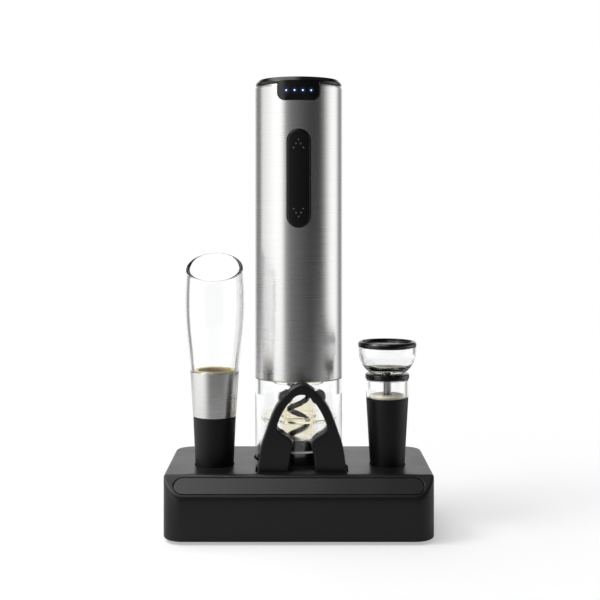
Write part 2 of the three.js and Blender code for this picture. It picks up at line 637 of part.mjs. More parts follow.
// ---- vacuum pump stopper ------------------------------------------------------
function buildPump() {
  const pump = group(PUMP.x, PUMP.y);
  const [tip, mouth, shoulder] = PUMP_PLUG;
  const bore = 5.6;
  const stopper = revolve([
    [1.6, tip[1]], [tip[0] - 0.8, tip[1]], [tip[0], tip[1] + 0.8], mouth, shoulder,
    [bore, shoulder[1]], [bore, tip[1] + 6], [1.6, tip[1] + 6],
  ], 24);
  add(pump, 'vacuum_stopper', stopper, rubberBlack);
  add(pump, 'pump_tube', ring(11.7, 9.9, shoulder[1] + GAP, 81.8, 24), clearPlastic);
  add(pump, 'pump_collar', ring(12.25, 2.4, 82.1, 85.3, 24), satinBlack);

  const knobBottom = 85.8;
  const outside = curveProfile([
    [9.9, knobBottom], [12.6, 88.4], [15.2, 93], [16.1, 98], [16.25, 100]], 5);
  const bowl = revolve([
    [2.4, knobBottom], ...outside, [14.7, 100], [14.3, 96], [12.6, 91], [9.5, 88.4], [2.4, 88],
  ], 24);
  add(pump, 'knob_bowl', bowl, clearPlastic);
  const lid = revolve([
    [0, 99.6], [14, 99.6], [14, 100.3], [16.2, 100.3], [16.25, 101.8], [15.6, 102.9], [14.9, 103],
    [14.1, 102.4], [14, 101.4], [0, 101.4],
  ], 24);
  add(pump, 'knob_lid', lid, satinBlack);
  const rodTop = 99.3;
  add(pump, 'pump_rod', disc(2.1, 52.5, rodTop, 16), darkSteel);
  add(pump, 'pump_piston', disc(5.2, 45, 52.2, 20), rubberBlack);
}

// ---- foil cutter --------------------------------------------------------------
// Each cutting wheel's centre, as X from the cutter's middle and height above the
// stand's top, and its radius.
const WHEEL_PLACES = [[-8.9, 39.4, 4.2], [8.9, 39.4, 4.2], [-11.8, 18.7, 3.2], [11.8, 18.7, 3.2]];

function buildCutter() {
  const cutter = group(CUTTER.x, 0);
  const back = CUTTER.front + CUTTER.thickness;
  const middle = (CUTTER.front + back) / 2;
  let frame = upright(cutterShape(0), CUTTER.front, back, 4);
  for (const side of [-1, 1]) {
    for (const [reach, z] of [[23.6, 1.9], [22.6, 8.5]]) {
      const nub = solid(new THREE.SphereGeometry(1.5, 8, 5)
        .translate(side * reach, CUTTER.front + 3, STAND.top + z));
      frame = frame.add(nub);
    }
  }
  const discs = [];
  for (const [x, height, radius] of WHEEL_PLACES) {
    const z = STAND.top + height;
    const slot = WHEEL.slot / 2;
    frame = frame.subtract(rodY(radius + 0.5, x, z, middle - slot, middle + slot, 16));
    frame = frame.subtract(rodY(WHEEL.axle + 0.25, x, z, CUTTER.front + 2.5, back - 2.5, 8));
    const wheel = rodY(radius, x, z, middle - WHEEL.thickness / 2,
      middle + WHEEL.thickness / 2, 16);
    const axle = rodY(WHEEL.axle, x, z, CUTTER.front + 3, back - 3, 8);
    discs.push(wheel.add(axle));
  }
  add(cutter, 'cutter_body', frame, satinBlack);
  discs.forEach((body, i) => add(cutter, `cutting_wheel_${i + 1}`, body, brushedSteel));
}

buildStand();
buildOpener();
buildAerator();
buildPump();
buildCutter();

export default set;
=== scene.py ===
import bmesh
import bpy
import numpy as np
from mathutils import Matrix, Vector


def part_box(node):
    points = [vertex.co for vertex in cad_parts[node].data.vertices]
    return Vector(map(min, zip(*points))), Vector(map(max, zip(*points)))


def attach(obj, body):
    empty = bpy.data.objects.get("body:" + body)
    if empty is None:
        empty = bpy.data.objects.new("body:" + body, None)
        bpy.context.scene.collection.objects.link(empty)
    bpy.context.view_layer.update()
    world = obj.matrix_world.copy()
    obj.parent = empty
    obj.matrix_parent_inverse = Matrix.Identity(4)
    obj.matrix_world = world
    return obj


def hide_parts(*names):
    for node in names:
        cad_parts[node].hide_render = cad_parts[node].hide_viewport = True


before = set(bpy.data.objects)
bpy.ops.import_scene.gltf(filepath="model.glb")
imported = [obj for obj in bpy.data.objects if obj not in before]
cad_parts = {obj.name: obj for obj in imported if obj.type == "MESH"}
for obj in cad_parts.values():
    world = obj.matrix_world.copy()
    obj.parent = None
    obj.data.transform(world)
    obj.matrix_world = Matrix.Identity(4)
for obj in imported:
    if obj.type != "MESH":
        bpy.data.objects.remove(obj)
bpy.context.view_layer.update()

# ---- stand shell ----------------------------------------------------------------
# A moulded black ABS block, open underneath, with a satin spark-eroded skin. It has
# a chamfer along the front, a round seat for the opener, two tapered wells for the
# stoppers and two pockets for the legs of the foil cutter.
MM = 0.001


def span(node):
    """Lowest and highest corner of a CAD node, in millimetres."""
    low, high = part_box(node)
    return np.array(low) / MM, np.array(high) / MM


def grid_faces(rows, columns, wrap_rows=False, wrap_columns=False):
    """Quads between the neighbours of a grid of points; a wrapped way joins its last line to its first."""
    row = np.arange(rows if wrap_rows else rows - 1)[:, None]
    column = np.arange(columns if wrap_columns else columns - 1)[None, :]
    next_row, next_column = (row + 1) % rows, (column + 1) % columns
    corners = (
        row * columns + column, row * columns + next_column,
        next_row * columns + next_column, next_row * columns + column,
    )
    return np.stack(corners, -1).reshape(-1, 4).tolist()


def turn_outwards(mesh):
    """Merges the points that lie on each other and turns every face outwards."""
    made = bmesh.new()
    made.from_mesh(mesh)
    bmesh.ops.remove_doubles(made, verts=made.verts, dist=2e-7)
    bmesh.ops.dissolve_degenerate(made, edges=made.edges, dist=1e-8)
    bmesh.ops.recalc_face_normals(made, faces=made.faces)
    made.to_mesh(mesh)
    made.free()


def build(name, points, faces):
    """A closed mesh object from points in millimetres, in the frame's own place."""
    mesh = bpy.data.meshes.new(name)
    flat = np.asarray(points, float).reshape(-1, 3) * MM
    mesh.from_pydata(flat.tolist(), [], faces)
    turn_outwards(mesh)
    made = bpy.data.objects.new(name, mesh)
    bpy.context.scene.collection.objects.link(made)
    return made


def stacked(name, rows):
    """Rings of points joined one above the other, with a flat face closing each end."""
    count, around = rows.shape[:2]
    faces = grid_faces(count, around, wrap_columns=True)
    faces.append(list(range(around)))
    faces.append(list(range((count - 1) * around, count * around)))
    return build(name, rows, faces)


def rounded_ends(low, high, edge, steps=4):
    """(inset, height) rows of a wall from low to high whose two edges are quarter circles of radius edge."""
    turn = np.linspace(0, np.pi / 2, steps + 1)
    inset = edge * (1 - np.sin(turn))
    rise = edge * (1 - np.cos(turn))
    below = np.stack([inset, low + rise], -1)
    above = np.stack([inset, high - rise], -1)[::-1]
    return np.vstack([below, above])


def rounded_block(half_width, half_depth, corner, profile, centre=(0, 0), arc=12):
    """Rounded rectangles up a profile of (inset, height): each corner is an arc about a centre that
    stays one corner radius inside both of its sides."""
    inset, height = np.asarray(profile, float).T[:, :, None]
    angle = (np.arange(4)[:, None] + np.linspace(0, 1, arc)).ravel() * np.pi / 2
    side_x = np.repeat([1, -1, -1, 1], arc)
    side_y = np.repeat([1, 1, -1, -1], arc)
    radius = np.maximum(corner - inset, 0.2)
    x = centre[0] + side_x * (half_width - inset - radius) + radius * np.cos(angle)
    y = centre[1] + side_y * (half_depth - inset - radius) + radius * np.sin(angle)
    return np.stack([x, y, height + 0 * angle], -1)


def turned(name, profile, centre=(0, 0), turns=160, axis="Z"):
    """A profile of (radius, height) swept in a full circle: x and y are the radius times cosine and sine.
    A profile that starts and ends on the axis closes there; any other closes on itself."""
    radius, height = np.asarray(profile, float).T[:, :, None]
    angle = np.linspace(0, 2 * np.pi, turns, endpoint=False)
    across, along = radius * np.cos(angle), radius * np.sin(angle)
    rise = height + 0 * angle
    if axis == "Z":
        rows = np.stack([centre[0] + across, centre[1] + along, rise], -1)
    else:
        rows = np.stack([centre[0] + across, rise, centre[1] + along], -1)
    on_axis = abs(profile[0][0]) < 1e-6 and abs(profile[-1][0]) < 1e-6
    faces = grid_faces(len(radius), turns, wrap_rows=not on_axis, wrap_columns=True)
    return build(name, rows, faces)


def cut(piece, tools, way="DIFFERENCE"):
    """Cuts the tools out of a piece, or joins them to it, and keeps only the result."""
    for tool in tools:
        step = piece.modifiers.new("cut", "BOOLEAN")
        step.operation, step.object, step.solver = way, tool, "EXACT"
    settled = piece.evaluated_get(bpy.context.evaluated_depsgraph_get())
    mesh = bpy.data.meshes.new_from_object(settled)
    piece.modifiers.clear()
    mesh.name = piece.name
    piece.data = mesh
    for tool in tools:
        bpy.data.objects.remove(tool)
    return piece


def shade(piece, angle=32, flats=True):
    """Smooth shading that breaks where faces meet at more than the angle; large flats stay flat."""
    piece.data.shade_smooth()
    piece.data.set_sharp_from_angle(angle=np.radians(angle))
    if flats:
        level = piece.modifiers.new("level flats", "WEIGHTED_NORMAL")
        level.keep_sharp = True
    return piece


def fit(piece, body, slot, finish, *stands_for):
    """Gives a finished piece its material, ties it to its body and hides the CAD nodes it stands for; the
    slot is not used.
    """
    piece.data.materials.clear()
    piece.data.materials.append(finish)
    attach(piece, body)
    if stands_for:
        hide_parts(*stands_for)
    return piece


def dress(finish, *nodes):
    """Gives CAD nodes that stay as they are their material."""
    for name in nodes:
        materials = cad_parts[name].data.materials
        materials.clear()
        materials.append(finish)


def node(tree, kind, feeds=None, **settings):
    """One shader node; feeds gives its inputs a value or another node's output."""
    made = tree.nodes.new("ShaderNode" + kind)
    for key, value in settings.items():
        setattr(made, key, value)
    for socket, value in (feeds or {}).items():
        if isinstance(value, bpy.types.NodeSocket):
            tree.links.new(value, made.inputs[socket])
        else:
            made.inputs[socket].default_value = value
    return made


def pattern_group(name, inputs, *also):
    """An empty pattern: a colour and numbers come in, and a colour, a roughness and a height go out."""
    tree = bpy.data.node_groups.new(name, "ShaderNodeTree")
    for label, value in inputs.items():
        kind = "NodeSocketColor" if label == "Colour" else "NodeSocketFloat"
        socket = tree.interface.new_socket(label, in_out="INPUT", socket_type=kind)
        socket.default_value = value
    for label in ("Base Color", "Roughness", "Height", *also):
        kind = "NodeSocketColor" if "Color" in label else "NodeSocketFloat"
        tree.interface.new_socket(label, in_out="OUTPUT", socket_type=kind)
    return tree, tree.nodes.new("NodeGroupInput").outputs, tree.nodes.new("NodeGroupOutput").inputs


def tinted(tree, colour, mask, amount):
    """The colour times 1 + amount x (mask - 0.5)."""
    centred = node(tree, "Math", {0: mask, 1: 0.5}, operation="SUBTRACT").outputs[0]
    share = node(tree, "Math", {0: centred, 1: amount, 2: 1.0}, operation="MULTIPLY_ADD").outputs[0]
    return node(tree, "VectorMath", {"Vector": colour, "Scale": share}, operation="SCALE").outputs[0]


def swung(tree, middle, mask, amount):
    """The middle value plus amount x (mask - 0.5)."""
    centred = node(tree, "Math", {0: mask, 1: 0.5}, operation="SUBTRACT").outputs[0]
    return node(tree, "Math", {0: centred, 1: amount, 2: middle}, operation="MULTIPLY_ADD").outputs[0]


# Moulded grain: a fine even pebble over broad, faint patches.
moulded_grain, taken, given = pattern_group("moulded_grain", {
    "Colour": (0.5, 0.5, 0.5, 1), "Variation": 0.1, "Roughness": 0.4, "Spread": 0.1, "Grain": 3000.0,
})
place = node(moulded_grain, "TexCoord").outputs["Object"]
pebble = node(moulded_grain, "TexNoise", {"Vector": place, "Scale": taken["Grain"], "Detail": 2.0})
patches = node(moulded_grain, "TexNoise", {"Vector": place, "Scale": 45.0, "Detail": 3.0})
mottle = node(moulded_grain, "Math", {0: pebble.outputs[0], 1: patches.outputs[0]}, operation="ADD")
mottle = node(moulded_grain, "Math", {0: mottle.outputs[0], 1: 0.5}, operation="MULTIPLY").outputs[0]
for socket, value in (
    ("Base Color", tinted(moulded_grain, taken["Colour"], mottle, taken["Variation"])),
    ("Roughness", swung(moulded_grain, taken["Roughness"], patches.outputs[0], taken["Spread"])),
    ("Height", pebble.outputs[0]),
):
    moulded_grain.links.new(value, given[socket])


def finish(name, pattern, values, depth, constants=None, links=()):
    """A material: a pattern feeds colour, roughness and a bump of the given depth in millimetres."""
    made = bpy.data.materials.new(name)
    made.use_nodes = True
    tree = made.node_tree
    shader = tree.nodes["Principled BSDF"]
    for socket, value in (constants or {}).items():
        shader.inputs[socket].default_value = value
    source = tree.nodes.new("ShaderNodeGroup")
    source.node_tree = pattern
    for label, value in values.items():
        source.inputs[label].default_value = value
    for socket in ("Base Color", "Roughness") + tuple(links):
        tree.links.new(source.outputs[socket], shader.inputs[socket])
    feeds = {"Height": source.outputs["Height"], "Distance": depth * MM, "Strength": 1.0}
    bump = node(tree, "Bump", feeds)
    tree.links.new(bump.outputs[0], shader.inputs["Normal"])
    return made


satin_black = finish("satin_black", moulded_grain, {
    "Colour": (0.0075, 0.0075, 0.0085, 1), "Variation": 0.5, "Roughness": 0.34, "Spread": 0.14,
    "Grain": 2600.0,
}, 0.006, {"IOR": 1.49, "Specular IOR Level": 0.38})

STAND_CORNER, STAND_EDGE, STAND_WALL = 11, 1.2, 2.6
CHAMFER = 10
PANEL_POCKET = 1.5
CREASE = 0.9
stand_low, stand_high = span("stand_shell")
stand_half = (stand_high - stand_low)[:2] / 2
stand_top = stand_high[2]
chamfer_level = stand_top + stand_half[1] - CHAMFER
chamfer_middle = np.array([0, CHAMFER / 2 - stand_half[1], stand_top - CHAMFER / 2])


def fold_to_chamfer(rows, inset=0.0):
    """Whatever stands above the 45-degree plane of the chamfer moves squarely onto it; the distance
    moved is a softened ramp, half of (distance + root of distance squared plus crease squared)."""
    above = (rows[..., 2] - rows[..., 1] - chamfer_level) / np.sqrt(2) + inset
    move = (above + np.sqrt(above ** 2 + CREASE ** 2)) / 2 / np.sqrt(2)
    rows[..., 1] += move
    rows[..., 2] -= move
    return rows


wall_rows = rounded_ends(stand_low[2], stand_top, STAND_EDGE)
climb = np.array([[0, z] for z in np.arange(8, 33.5, 1.5)])
shoulder = [[inset, stand_top] for inset in np.arange(2, 13.5, 0.8)] + [[16, stand_top], [19, stand_top]]
stand_profile = np.vstack([wall_rows[:5], climb, wall_rows[5:], shoulder])
stand = stacked("stand_shell_moulding", fold_to_chamfer(
    rounded_block(*stand_half, STAND_CORNER, stand_profile, arc=16)))

hollow_rows = [[0, stand_low[2] - 1]] + [[0, z] for z in np.arange(6, 32.6, 1.5)]
hollow_rows += [[inset, stand_top - STAND_WALL] for inset in (0.5, 3, 5, 7, 9, 11, 14)]
hollow = stacked("hollow", fold_to_chamfer(
    rounded_block(*(stand_half - STAND_WALL), STAND_CORNER - STAND_WALL, hollow_rows),
    STAND_WALL + PANEL_POCKET))


def middle_of(node_name):
    """The x and y of a CAD node's axis, in millimetres."""
    low, high = span(node_name)
    return (low[:2] + high[:2]) / 2


opener_axis = middle_of("outer_shell")
pourer_axis = middle_of("aerator_stopper")
pump_axis = middle_of("vacuum_stopper")
SEAT_RADIUS, SEAT_DEPTH = 25.4, 3
WELL_WALL = 2.9
posts = [turned("post", [[0, stand_top - SEAT_DEPTH - STAND_WALL], [SEAT_RADIUS + STAND_WALL,
                stand_top - SEAT_DEPTH - STAND_WALL], [SEAT_RADIUS + STAND_WALL, 40], [0, 40]],
                opener_axis, 64)]
for axis, mouth in ((pourer_axis, 10.65), (pump_axis, 9.65)):
    reach = mouth + WELL_WALL
    posts.append(turned("post", [[0, 9], [reach, 9], [reach, 40], [0, 40]], axis, 48))
cutter_low, cutter_high = span("cutter_body")
leg_middle = (cutter_low + cutter_high)[:2] / 2
posts.append(stacked("post", rounded_block(29, 8.6, 1, [[0, 29.4], [0, 40]], leg_middle)))
hollow = cut(hollow, posts)


def flared(radius, bottom, top, tip=None, flare=0.45):
    """Profile of a round cutter whose mouth opens in a small quarter circle, so that the hole's rim is
    soft."""
    turn = np.linspace(0, np.pi / 2, 5)
    rim = np.stack([radius + flare * (1 - np.cos(turn)), top - flare * (1 - np.sin(turn))], -1)
    tip = radius if tip is None else tip
    return np.vstack([[[0, bottom], [tip, bottom]], rim, [[radius + flare, top + 4], [0, top + 4]]])


tools = [hollow, turned("seat", flared(SEAT_RADIUS, stand_top - SEAT_DEPTH, stand_top), opener_axis)]
for axis, tip, mouth, floor in ((pourer_axis, 9.2, 10.95, 10.7), (pump_axis, 8.8, 9.95, 11.7)):
    tools.append(turned("well", flared(mouth, floor, stand_top, tip), axis, 96))
LEG_POCKET = (9.1, 6.3)
LEG_REACH = 15.9
for side in (-1, 1):
    mouth = [[0, stand_top - 3], [0, stand_top - 0.35], [-0.1, stand_top - 0.1], [-0.35, stand_top],
             [-0.35, stand_top + 3]]
    place = leg_middle + (side * LEG_REACH, 0)
    tools.append(stacked("pocket", rounded_block(*LEG_POCKET, 0.8, mouth, place)))


def on_chamfer(rows):
    """Rows drawn flat are tipped 45 degrees and set on the middle of the chamfer."""
    x, y, z = rows[..., 0], rows[..., 1], rows[..., 2]
    tipped = np.stack([x, (y - z) / np.sqrt(2), (y + z) / np.sqrt(2)], -1)
    return tipped + chamfer_middle


PANEL_HALF = (66.15, 5)
pocket_rows = [[-0.3, -PANEL_POCKET], [-0.3, -0.3], [-0.4, -0.1], [-0.7, 0.02], [-0.7, 3]]
tools.append(stacked("pocket", on_chamfer(rounded_block(*PANEL_HALF, PANEL_HALF[1], pocket_rows))))
screw_places = [middle_of(f"cover_screw_{k}") for k in (1, 2, 3, 4)]
tools += [turned("pilot", [[0, 0], [1.7, 0], [1.7, 12.6], [0, 12.6]], at, 24) for at in screw_places]
cut(stand, tools)
shade(stand)
fit(stand, "stand", "satin_black", satin_black, "stand_shell")

# ---- stand panel ----------------------------------------------------------------
# A long capsule of smoother, slightly glossier black plastic let into the chamfer.
# It is glued in flush and leaves a fine groove all round.
panel_black = finish("panel_black", moulded_grain, {
    "Colour": (0.006, 0.006, 0.007, 1), "Variation": 0.5, "Roughness": 0.26, "Spread": 0.1,
    "Grain": 3600.0,
}, 0.003, {"IOR": 1.5})
PANEL_EDGE = 0.35
panel_rows = rounded_ends(0.3 - PANEL_POCKET, 0, PANEL_EDGE)
panel = stacked("stand_panel_inlay", on_chamfer(
    rounded_block(*PANEL_HALF, PANEL_HALF[1], panel_rows, arc=20)))
shade(panel)
fit(panel, "stand", "satin_black", panel_black, "stand_panel")

# ---- underside of the stand -------------------------------------------------------
# A flat cover held by four cross-head screws, four soft rubber feet and a cast iron
# slab inside that keeps the stand steady.
dress(satin_black, "stand_bottom_cover")
cast_iron = finish("cast_iron", moulded_grain, {
    "Colour": (0.13, 0.125, 0.12, 1), "Variation": 0.8, "Roughness": 0.72, "Spread": 0.25,
    "Grain": 1100.0,
}, 0.12, {"Metallic": 1.0})
dress(cast_iron, "ballast_weight")
foot_rubber = finish("foot_rubber", moulded_grain, {
    "Colour": (0.02, 0.02, 0.02, 1), "Variation": 0.5, "Roughness": 0.85, "Spread": 0.1, "Grain": 2200.0,
}, 0.03, {"Sheen Weight": 0.12})
screw_steel = finish("screw_steel", moulded_grain, {
    "Colour": (0.2, 0.2, 0.21, 1), "Variation": 0.4, "Roughness": 0.38, "Spread": 0.2, "Grain": 2500.0,
}, 0.01, {"Metallic": 1.0})


def rounded(corners, radii, steps=5):
    """A closed outline whose corners are arcs: each arc touches its two sides at the radius divided by
    the tangent of half the corner's angle, and swings between the two touching points."""
    at = np.asarray(corners, float)
    radius = np.broadcast_to(np.asarray(radii, float), len(at))
    back, ahead = np.roll(at, 1, 0) - at, np.roll(at, -1, 0) - at
    length_back = np.linalg.norm(back, axis=1)
    length_ahead = np.linalg.norm(ahead, axis=1)
    back, ahead = back / length_back[:, None], ahead / length_ahead[:, None]
    half = np.arccos(np.clip((back * ahead).sum(1), -0.99999, 0.99999)) / 2
    touch = np.minimum(radius / np.tan(half), 0.49 * np.minimum(length_back, length_ahead))
    radius = touch * np.tan(half)
    bisector = back + ahead
    bisector /= np.linalg.norm(bisector, axis=1)[:, None]
    centre = at + bisector * (radius / np.sin(half))[:, None]
    start, end = at + back * touch[:, None] - centre, at + ahead * touch[:, None] - centre
    sweep = (np.pi - 2 * half)[:, None, None]
    share = np.linspace(0, 1, steps + 1)[None, :, None]
    arcs = np.sin((1 - share) * sweep) * start[:, None] + np.sin(share * sweep) * end[:, None]
    return (centre[:, None] + arcs / np.sin(sweep)).reshape(-1, 2)


for k in (1, 2, 3, 4):
    low, high = span(f"rubber_foot_{k}")
    reach = (high - low)[0] / 2
    pad = rounded([[0, low[2]], [reach - 1.6, low[2]], [reach, low[2] + 0.9], [reach, high[2]],
                   [0, high[2]]], [0, 0.5, 0.6, 0.15, 0])
    foot = shade(turned(f"rubber_foot_pad_{k}", pad, middle_of(f"rubber_foot_{k}"), 64))
    fit(foot, "stand", "black_rubber", foot_rubber, f"rubber_foot_{k}")

    low, high = span(f"cover_screw_{k}")
    head = (high - low)[0] / 2
    under = low[2]
    pin = rounded([[0, under], [head - 0.4, under], [head, under + 0.3], [head, under + 0.6],
                   [1.4, under + 0.6], [1.4, high[2] - 1.2], [0.2, high[2]], [0, high[2]]],
                  [0, 0.2, 0.15, 0.05, 0.1, 0.3, 0.05, 0])
    screw = turned(f"cover_screw_pan_head_{k}", pin, screw_places[k - 1], 48)
    slots = [stacked("slot", rounded_block(half_x, half_y, 0.15, [[0, under - 1], [0, under + 0.4]],
                                           screw_places[k - 1]))
             for half_x, half_y in ((1.6, 0.3), (0.3, 1.6))]
    shade(cut(screw, slots))
    fit(screw, "stand", "dark_steel", screw_steel, f"cover_screw_{k}")

# ---- outer shell of the opener ------------------------------------------------------
# A drawn stainless tube, 1 mm thick, brushed round its axis, so that light spreads
# up and down it. It is pierced for the rocker, the light window and the inlet.
brushed_round, taken, given = pattern_group("brushed_round", {
    "Colour": (0.6, 0.6, 0.6, 1), "Variation": 0.2, "Roughness": 0.3, "Spread": 0.1, "Fine": 9000.0,
})
place = node(brushed_round, "TexCoord").outputs["Object"]
turns = node(brushed_round, "CombineXYZ", {"X": 30.0, "Y": 30.0, "Z": taken["Fine"]}).outputs[0]
strokes = node(brushed_round, "VectorMath", {0: place, 1: turns}, operation="MULTIPLY").outputs[0]
hairs = node(brushed_round, "TexNoise", {"Vector": strokes, "Scale": 1.0, "Detail": 3.0})
broad = node(brushed_round, "VectorMath", {0: place, 1: (16.0, 16.0, 1900.0)}, operation="MULTIPLY")
bands = node(brushed_round, "TexNoise", {"Vector": broad.outputs[0], "Scale": 1.0, "Detail": 4.0})
both = node(brushed_round, "Math", {0: hairs.outputs[0], 1: bands.outputs[0]}, operation="ADD")
both = node(brushed_round, "Math", {0: both.outputs[0], 1: 0.5}, operation="MULTIPLY").outputs[0]
for socket, value in (
    ("Base Color", tinted(brushed_round, taken["Colour"], both, taken["Variation"])),
    ("Roughness", swung(brushed_round, taken["Roughness"], bands.outputs[0], taken["Spread"])),
    ("Height", hairs.outputs[0]),
):
    brushed_round.links.new(value, given[socket])

brushed_steel = finish("brushed_steel", brushed_round, {
    "Colour": (0.64, 0.638, 0.634, 1), "Variation": 0.26, "Roughness": 0.28, "Spread": 0.05,
    "Fine": 6000.0,
}, 0.0001, {"Metallic": 1.0, "Anisotropic": 0.6, "Anisotropic Rotation": 0.25})

STEEL_WALL = 1.0
ROCKER_GAP = 0.35
shell_low, shell_high = span("outer_shell")
steel_radius = (shell_high - shell_low)[0] / 2
lip = shell_high[2]
tube = rounded([
    [steel_radius - STEEL_WALL, shell_low[2]], [steel_radius, shell_low[2]], [steel_radius, lip - 1.7],
    [steel_radius - 0.25, lip - 0.65], [steel_radius - 0.85, lip], [steel_radius - 1.25, lip],
    [steel_radius - STEEL_WALL, lip - 1.6],
], [0.15, 0.3, 0.9, 0.7, 0.3, 0.1, 0.3], 6)
shell = turned("outer_shell_tube", tube, opener_axis, 256)

rocker_low, rocker_high = span("rocker_button")
rocker_half = (rocker_high - rocker_low)[[0, 2]] / 2
rocker_centre = (rocker_high + rocker_low)[[0, 2]] / 2


def through_front(name, rows):
    """Rows drawn flat are stood up, so that their height runs back into the opener from its front."""
    x, y, z = rows[..., 0], rows[..., 1], rows[..., 2]
    return stacked(name, np.stack([x, opener_axis[1] - z, y], -1))


def capsule(half, grow, deep, out, arc=24):
    """Rows of an upright capsule that sits on the rocker's centre."""
    rows = rounded_block(half[0] + grow, half[1] + grow, half[0] + grow, [[0, deep], [0, out]], arc=arc)
    return rows + (*rocker_centre, 0)


WINDOW_HALF, WINDOW_BOTTOM, WINDOW_CORNER = 11.75, 236.7, 4.2
window_top = span("top_cap")[1][2] - 2.6


def window_rows(grow, profile, arc=14):
    """Rows of the light window: a rectangle with two round lower corners that runs up behind the cap."""
    half_height = (window_top + 8 - WINDOW_BOTTOM) / 2
    middle = (0, WINDOW_BOTTOM + half_height)
    return rounded_block(WINDOW_HALF + grow, half_height + grow, WINDOW_CORNER + grow, profile, middle, arc)


inlet_low, inlet_high = span("charging_port")
inlet_z = (inlet_low + inlet_high)[2] / 2
inlet_rows = rounded_block(5.1, 2.3, 2.2, [[0, -30], [0, -20]], (0, inlet_z))
cut(shell, [
    through_front("opening", capsule(rocker_half, ROCKER_GAP, 15, 30)),
    through_front("opening", window_rows(0.25, [[0, 15], [0, 30]])),
    through_front("opening", inlet_rows),
])


def true_round(piece, axis):
    """Upright walls of a turned piece are shaded by the direction from their axis, not by their facets."""
    mesh = piece.data
    mesh.shade_smooth()
    mesh.set_sharp_from_angle(angle=np.radians(32))
    count = len(mesh.loops)
    normals = np.zeros(count * 3, np.float32)
    mesh.corner_normals.foreach_get("vector", normals)
    corner = np.zeros(count, np.int32)
    mesh.loops.foreach_get("vertex_index", corner)
    points = np.zeros(len(mesh.vertices) * 3, np.float32)
    mesh.vertices.foreach_get("co", points)
    sides = np.zeros(len(mesh.polygons), np.int32)
    mesh.polygons.foreach_get("loop_total", sides)
    facing = np.zeros(len(mesh.polygons) * 3, np.float32)
    mesh.polygons.foreach_get("normal", facing)
    normals = normals.reshape(-1, 3)
    facing = np.repeat(facing.reshape(-1, 3), sides, 0)
    away = points.reshape(-1, 3)[corner] - np.append(np.asarray(axis) * MM, 0)
    away[:, 2] = 0
    away /= np.maximum(np.linalg.norm(away, axis=1), 1e-9)[:, None]
    along = (facing * away).sum(1)
    round_wall = (np.abs(facing[:, 2]) < 0.02) & (np.abs(along) > 0.985)
    normals[round_wall] = (np.sign(along)[:, None] * away)[round_wall]
    mesh.normals_split_custom_set(normals.tolist())


true_round(shell, opener_axis)
fit(shell, "opener", "brushed_steel", brushed_steel, "outer_shell")

# ---- cap --------------------------------------------------------------------------
# A glossy black injection moulded cap pressed into the tube. Its rim is rounded over
# and a fine dark groove is left between it and the steel.
gloss_black = finish("gloss_black", moulded_grain, {
    "Colour": (0.004, 0.004, 0.005, 1), "Variation": 0.4, "Roughness": 0.17, "Spread": 0.06,
    "Grain": 900.0,
}, 0.0008, {"IOR": 1.52, "Specular IOR Level": 0.4})
cap_low, cap_high = span("top_cap")
cap_top = cap_high[2]
GROOVE = 0.35
rim = shell_high[2] + GROOVE
spigot = steel_radius - STEEL_WALL - 0.3
cap_corners = [
    [0, cap_top - 2.4], [spigot - 2, cap_top - 2.4], [spigot - 2, cap_low[2] + 4], [spigot, cap_low[2] + 4],
    [spigot, rim - 0.2], [steel_radius - 0.5, rim - 0.1], [steel_radius - 0.4, rim + 1.1],
    [22.6, cap_top - 0.05], [20.8, cap_top - 0.3], [0, cap_top - 0.25],
]
cap = turned("top_cap_moulding", rounded(cap_corners, [0, 0.2, 0.2, 0.2, 0.1, 0.2, 1.2, 1.3, 0.8, 0], 7),
             opener_axis, 224)
shade(cap, 40)
fit(cap, "opener", "gloss_black", gloss_black, "top_cap")

# ---- light window -------------------------------------------------------------------
# A tab of the same gloss black drops from the cap in front of the battery lights. It is
# curved with the tube, and a soft blue glow is painted as emission on the plastic round each light.
LIGHT_SPACING, LIGHT_RADIUS = 4.6, 0.48
light_low, light_high = span("led_1")
light_z = (light_low + light_high)[2] / 2
# Painted glow: blue emission on the tab that fades with distance from each light, only across the four
# lights.
painted_glow_pattern, taken, given = pattern_group("painted_led_glow", {
    "Colour": (0.01, 0.01, 0.012, 1), "Variation": 0.3, "Roughness": 0.2, "Spread": 0.05,
    "Spacing": 0.005, "Height of lights": 0.24, "Reach": 0.002,
}, "Emission Color")
place = node(painted_glow_pattern, "TexCoord").outputs["Object"]
apart = node(painted_glow_pattern, "SeparateXYZ", {0: place}).outputs
nearest = node(painted_glow_pattern, "Math", {0: apart["X"], 1: taken["Spacing"]}, operation="FLOORED_MODULO").outputs[0]
half = node(painted_glow_pattern, "Math", {0: taken["Spacing"], 1: 0.5}, operation="MULTIPLY").outputs[0]
aside = node(painted_glow_pattern, "Math", {0: nearest, 1: half}, operation="SUBTRACT").outputs[0]
above = node(painted_glow_pattern, "Math", {0: apart["Z"], 1: taken["Height of lights"]}, operation="SUBTRACT").outputs[0]
flat = node(painted_glow_pattern, "CombineXYZ", {"X": aside, "Y": above}).outputs[0]
away = node(painted_glow_pattern, "VectorMath", {0: flat}, operation="LENGTH").outputs["Value"]
fade = node(painted_glow_pattern, "MapRange", {"Value": away, "From Min": 0.0005, "From Max": taken["Reach"],
                               "To Min": 1.0, "To Max": 0.0}, interpolation_type="SMOOTHERSTEP")
wide = node(painted_glow_pattern, "Math", {0: apart["X"]}, operation="ABSOLUTE").outputs[0]
among = node(painted_glow_pattern, "Math", {0: wide, 1: 2 * LIGHT_SPACING * MM}, operation="LESS_THAN").outputs[0]
mask = node(painted_glow_pattern, "Math", {0: fade.outputs[0], 1: among}, operation="MULTIPLY").outputs[0]
glow = node(painted_glow_pattern, "VectorMath", {"Vector": (0.004, 0.022, 0.075), "Scale": mask}, operation="SCALE")
